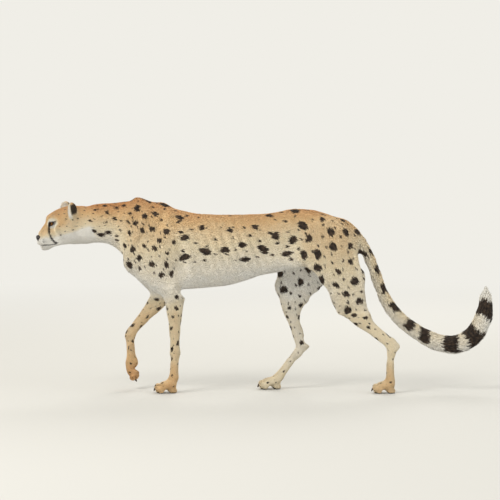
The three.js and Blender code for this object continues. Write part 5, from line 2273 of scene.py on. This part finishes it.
@dataclass(frozen=True)
class NoseLook:
    """Black, slightly moist, finely pebbled skin."""

    black: Colour = srgb(30, 25, 25)
    worn: Colour = srgb(62, 50, 48)
    pebbles: float = 700.0  # how many there are in a metre
    relief: Pair = (0.4 * MM, 0.6)
    roughness: float = 0.42

    def build(self) -> Material:
        """Make the material.

        Returns:
            The material.
        """
        paint = Paint("nose")
        settings = {"feature": "DISTANCE_TO_EDGE"}
        inputs = {"Vector": paint.place(1, 1, 1), "Scale": self.pebbles}
        cells = paint.node("ShaderNodeTexVoronoi", settings, inputs)
        pebble = Value(paint, cells.outputs["Distance"]).step(0.0, 0.25)
        colour = paint.mix(paint.noise(160).step(0.4, 0.8), self.black, self.worn)
        paint.bump(pebble, *self.relief)
        return paint.finish(Base_Color=colour, Roughness=self.roughness)


@dataclass(frozen=True)
class HornLook:
    """Dark worn horn of the claws."""

    dark: Colour = srgb(52, 42, 36)
    pale: Colour = srgb(110, 92, 76)
    relief: Pair = (0.3 * MM, 0.5)
    roughness: float = 0.38

    def build(self) -> Material:
        """Make the material.

        Returns:
            The material.
        """
        paint = Paint("claw")
        grain = paint.noise(260, 3)
        colour = paint.mix(grain.step(0.4, 0.75), self.dark, self.pale)
        paint.bump(grain, *self.relief)
        return paint.finish(Base_Color=colour, Roughness=self.roughness)


@dataclass(frozen=True)
class WhiskerLook:
    """Stiff white hair."""

    white: Colour = srgb(232, 230, 224)
    roughness: float = 0.45

    def build(self) -> Material:
        """Make the material."""
        return Paint("whisker").finish(Base_Color=self.white, Roughness=self.roughness)


# ---------- Floor, light and camera ----------
@dataclass(frozen=True)
class Lamp:
    """A soft square lamp: its place, width, strength in watts and colour."""

    name: str
    at: Triple
    size: float
    power: float
    colour: Triple


@dataclass
class Studio:
    """A plain pale floor, soft light and a long lens."""

    lamps: tuple[Lamp, ...] = (
        Lamp("key", (-3.4, -3.4, 5.0), 2.8, 190, (1.0, 0.97, 0.92)),
        Lamp("side", (4.6, -2.2, 2.6), 2.6, 46, (0.93, 0.97, 1.0)),
        Lamp("back", (1.0, 4.4, 3.8), 3.0, 110, (1.0, 0.98, 0.95)),
        Lamp("sparkle", (-3.4, -3.6, 1.9), 0.5, 22, (1.0, 1.0, 1.0)),
    )

    middle: Triple = (-0.059, 0.0, 0.568)
    distance: float = 9.0
    tilt: float = 3.5  # how far the camera looks down, in degrees
    width: float = 2.0  # how much of the animal's length fits the frame
    film: float = 36.0  # width of the camera's picture, in millimetres
    floor: float = 90.0  # radius of the floor
    fade: Pair = (1.6, 6.0)  # where the floor turns into the world's colour
    stone: Colour = srgb(202, 201, 197)
    pale: Colour = srgb(240, 238, 231)
    ambient: float = 1.0

    def build(self) -> None:
        """Set up floor, world, lights and camera."""
        self.add_floor()
        self.add_world()
        for lamp in self.lamps:
            self.add_light(lamp)
        self.add_camera()

    def add_floor(self) -> None:
        """Lay the floor, which fades to the world's colour in the distance."""
        bpy.ops.mesh.primitive_circle_add(vertices=96, radius=self.floor, fill_type="NGON")
        floor = bpy.context.view_layer.objects.active
        floor.name = "floor"
        paint = Paint("floor")
        inputs = {0: paint.place(1, 1, 1)}
        distance = paint.node("ShaderNodeVectorMath", {"operation": "LENGTH"}, inputs)
        far = Value(paint, distance.outputs["Value"]).step(*self.fade)
        paint.finish(Base_Color=self.stone, Roughness=0.9, Specular_IOR_Level=0.1)
        glow = paint.node("ShaderNodeEmission", {}, {"Color": self.pale, "Strength": self.ambient})
        inputs = {0: far, 1: paint.shader.outputs[0], 2: glow.outputs[0]}
        mix = paint.node("ShaderNodeMixShader", {}, inputs)
        output = next(n for n in paint.tree.nodes if n.type == "OUTPUT_MATERIAL")
        paint.tree.links.new(mix.outputs[0], output.inputs["Surface"])
        floor.data.materials.append(paint.material)

    def add_world(self) -> None:
        """Light the scene evenly from all sides."""
        world = bpy.data.worlds.new("studio")
        bpy.context.scene.world = world
        world.use_nodes = True
        background = world.node_tree.nodes["Background"]
        background.inputs["Color"].default_value = self.pale
        background.inputs["Strength"].default_value = self.ambient

    def add_light(self, lamp: Lamp) -> None:
        """Add a lamp that faces the animal.

        Args:
            lamp: its place and light.
        """
        aim = (Vector(self.middle) - Vector(lamp.at)).to_track_quat("-Z", "Y").to_euler()
        bpy.ops.object.light_add(type="AREA", location=lamp.at, rotation=aim)
        made = bpy.context.view_layer.objects.active
        made.name = lamp.name
        made.data.size = lamp.size
        made.data.energy = lamp.power
        made.data.color = lamp.colour

    def add_camera(self) -> None:
        """Look at the animal's left side from afar, slightly from above."""
        tilt = math.radians(self.tilt)
        away = Vector((0, -math.cos(tilt), math.sin(tilt))) * self.distance
        bpy.ops.object.camera_add(location=Vector(self.middle) + away)
        camera = bpy.context.view_layer.objects.active
        camera.rotation_euler = (-away).to_track_quat("-Z", "Y").to_euler()
        camera.data.sensor_width = self.film
        camera.data.lens = self.film * self.distance / self.width
        camera.data.clip_end = self.floor * 2
        bpy.context.scene.camera = camera
        bpy.context.scene.view_settings.view_transform = "Standard"


def main() -> None:
    """Build the cheetah's looks, and report the skin's faces and the tufts of each coat piece."""
    logging.basicConfig(level=logging.INFO, format="%(message)s")
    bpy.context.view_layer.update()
    outline = Outline([*FLESH, *EARS])
    head = HeadFrame()
    low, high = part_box("tail_root")
    tail = CentreLine(outline, TAIL, Vector((low.x, (low.y + high.y) / 2, high.z)))
    skin = Skin(outline, head, tail).build()
    log.info("skin: %d faces", len(skin.data.polygons))
    dress(skin, outline, head, tail)
    for side in Side:
        put_on(Eye().build(head, side), EyeLook().build(), [side.node("eye")])
    put_on(Nose().build(head), NoseLook().build(), ["nose"])
    put_on(Claws().build(), HornLook().build(), [n for n in frame["nodes"] if "claw" in n])
    put_on(Whiskers().build(head), WhiskerLook().build(), [])
    Studio().build()


def dress(skin: Object, outline: Outline, head: HeadFrame, tail: CentreLine) -> None:
    """Mark the skin and grow the coat on it.

    Args:
        skin: the finished skin.
        outline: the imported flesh.
        head: the head's axes.
        tail: the tail's middle line.
    """
    unwrap(skin)
    ground = Ground(skin, outline, head, tail)
    lie = Lie().directions(ground)
    marks = Markings().paint(ground, lie, Eye(), Mouth())
    for name in ("warm", "edge", "dark"):
        store(skin.data, name, marks[name])
    put_on(shaded(skin), FurLook().build(on_skin=True), [*FLESH, *EARS])
    fur = FurLook().build(on_skin=False)
    for piece in Coat().build(ground, lie, marks):
        put_on(piece, fur, [])


def unwrap(skin: Object) -> None:
    """Lay the skin out flat in the map "OFBake".

    Args:
        skin: the object to unwrap.
    """
    while skin.data.uv_layers:
        skin.data.uv_layers.remove(skin.data.uv_layers[0])
    skin.data.uv_layers.new(name="OFBake")
    limit = math.radians(66)
    with_edit(skin, lambda: bpy.ops.uv.smart_project(angle_limit=limit, island_margin=0.0008))


def put_on(
    piece: Object, look: Material, nodes: Sequence[str]
) -> None:
    """Hand a finished piece to the frame.

    Args:
        piece: the finished piece.
        look: its material.
        nodes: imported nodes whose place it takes.
    """
    piece.data.materials.clear()
    piece.data.materials.append(look)
    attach(piece, "root")
    if nodes:
        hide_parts(*nodes)


if __name__ == "__main__":
    main()
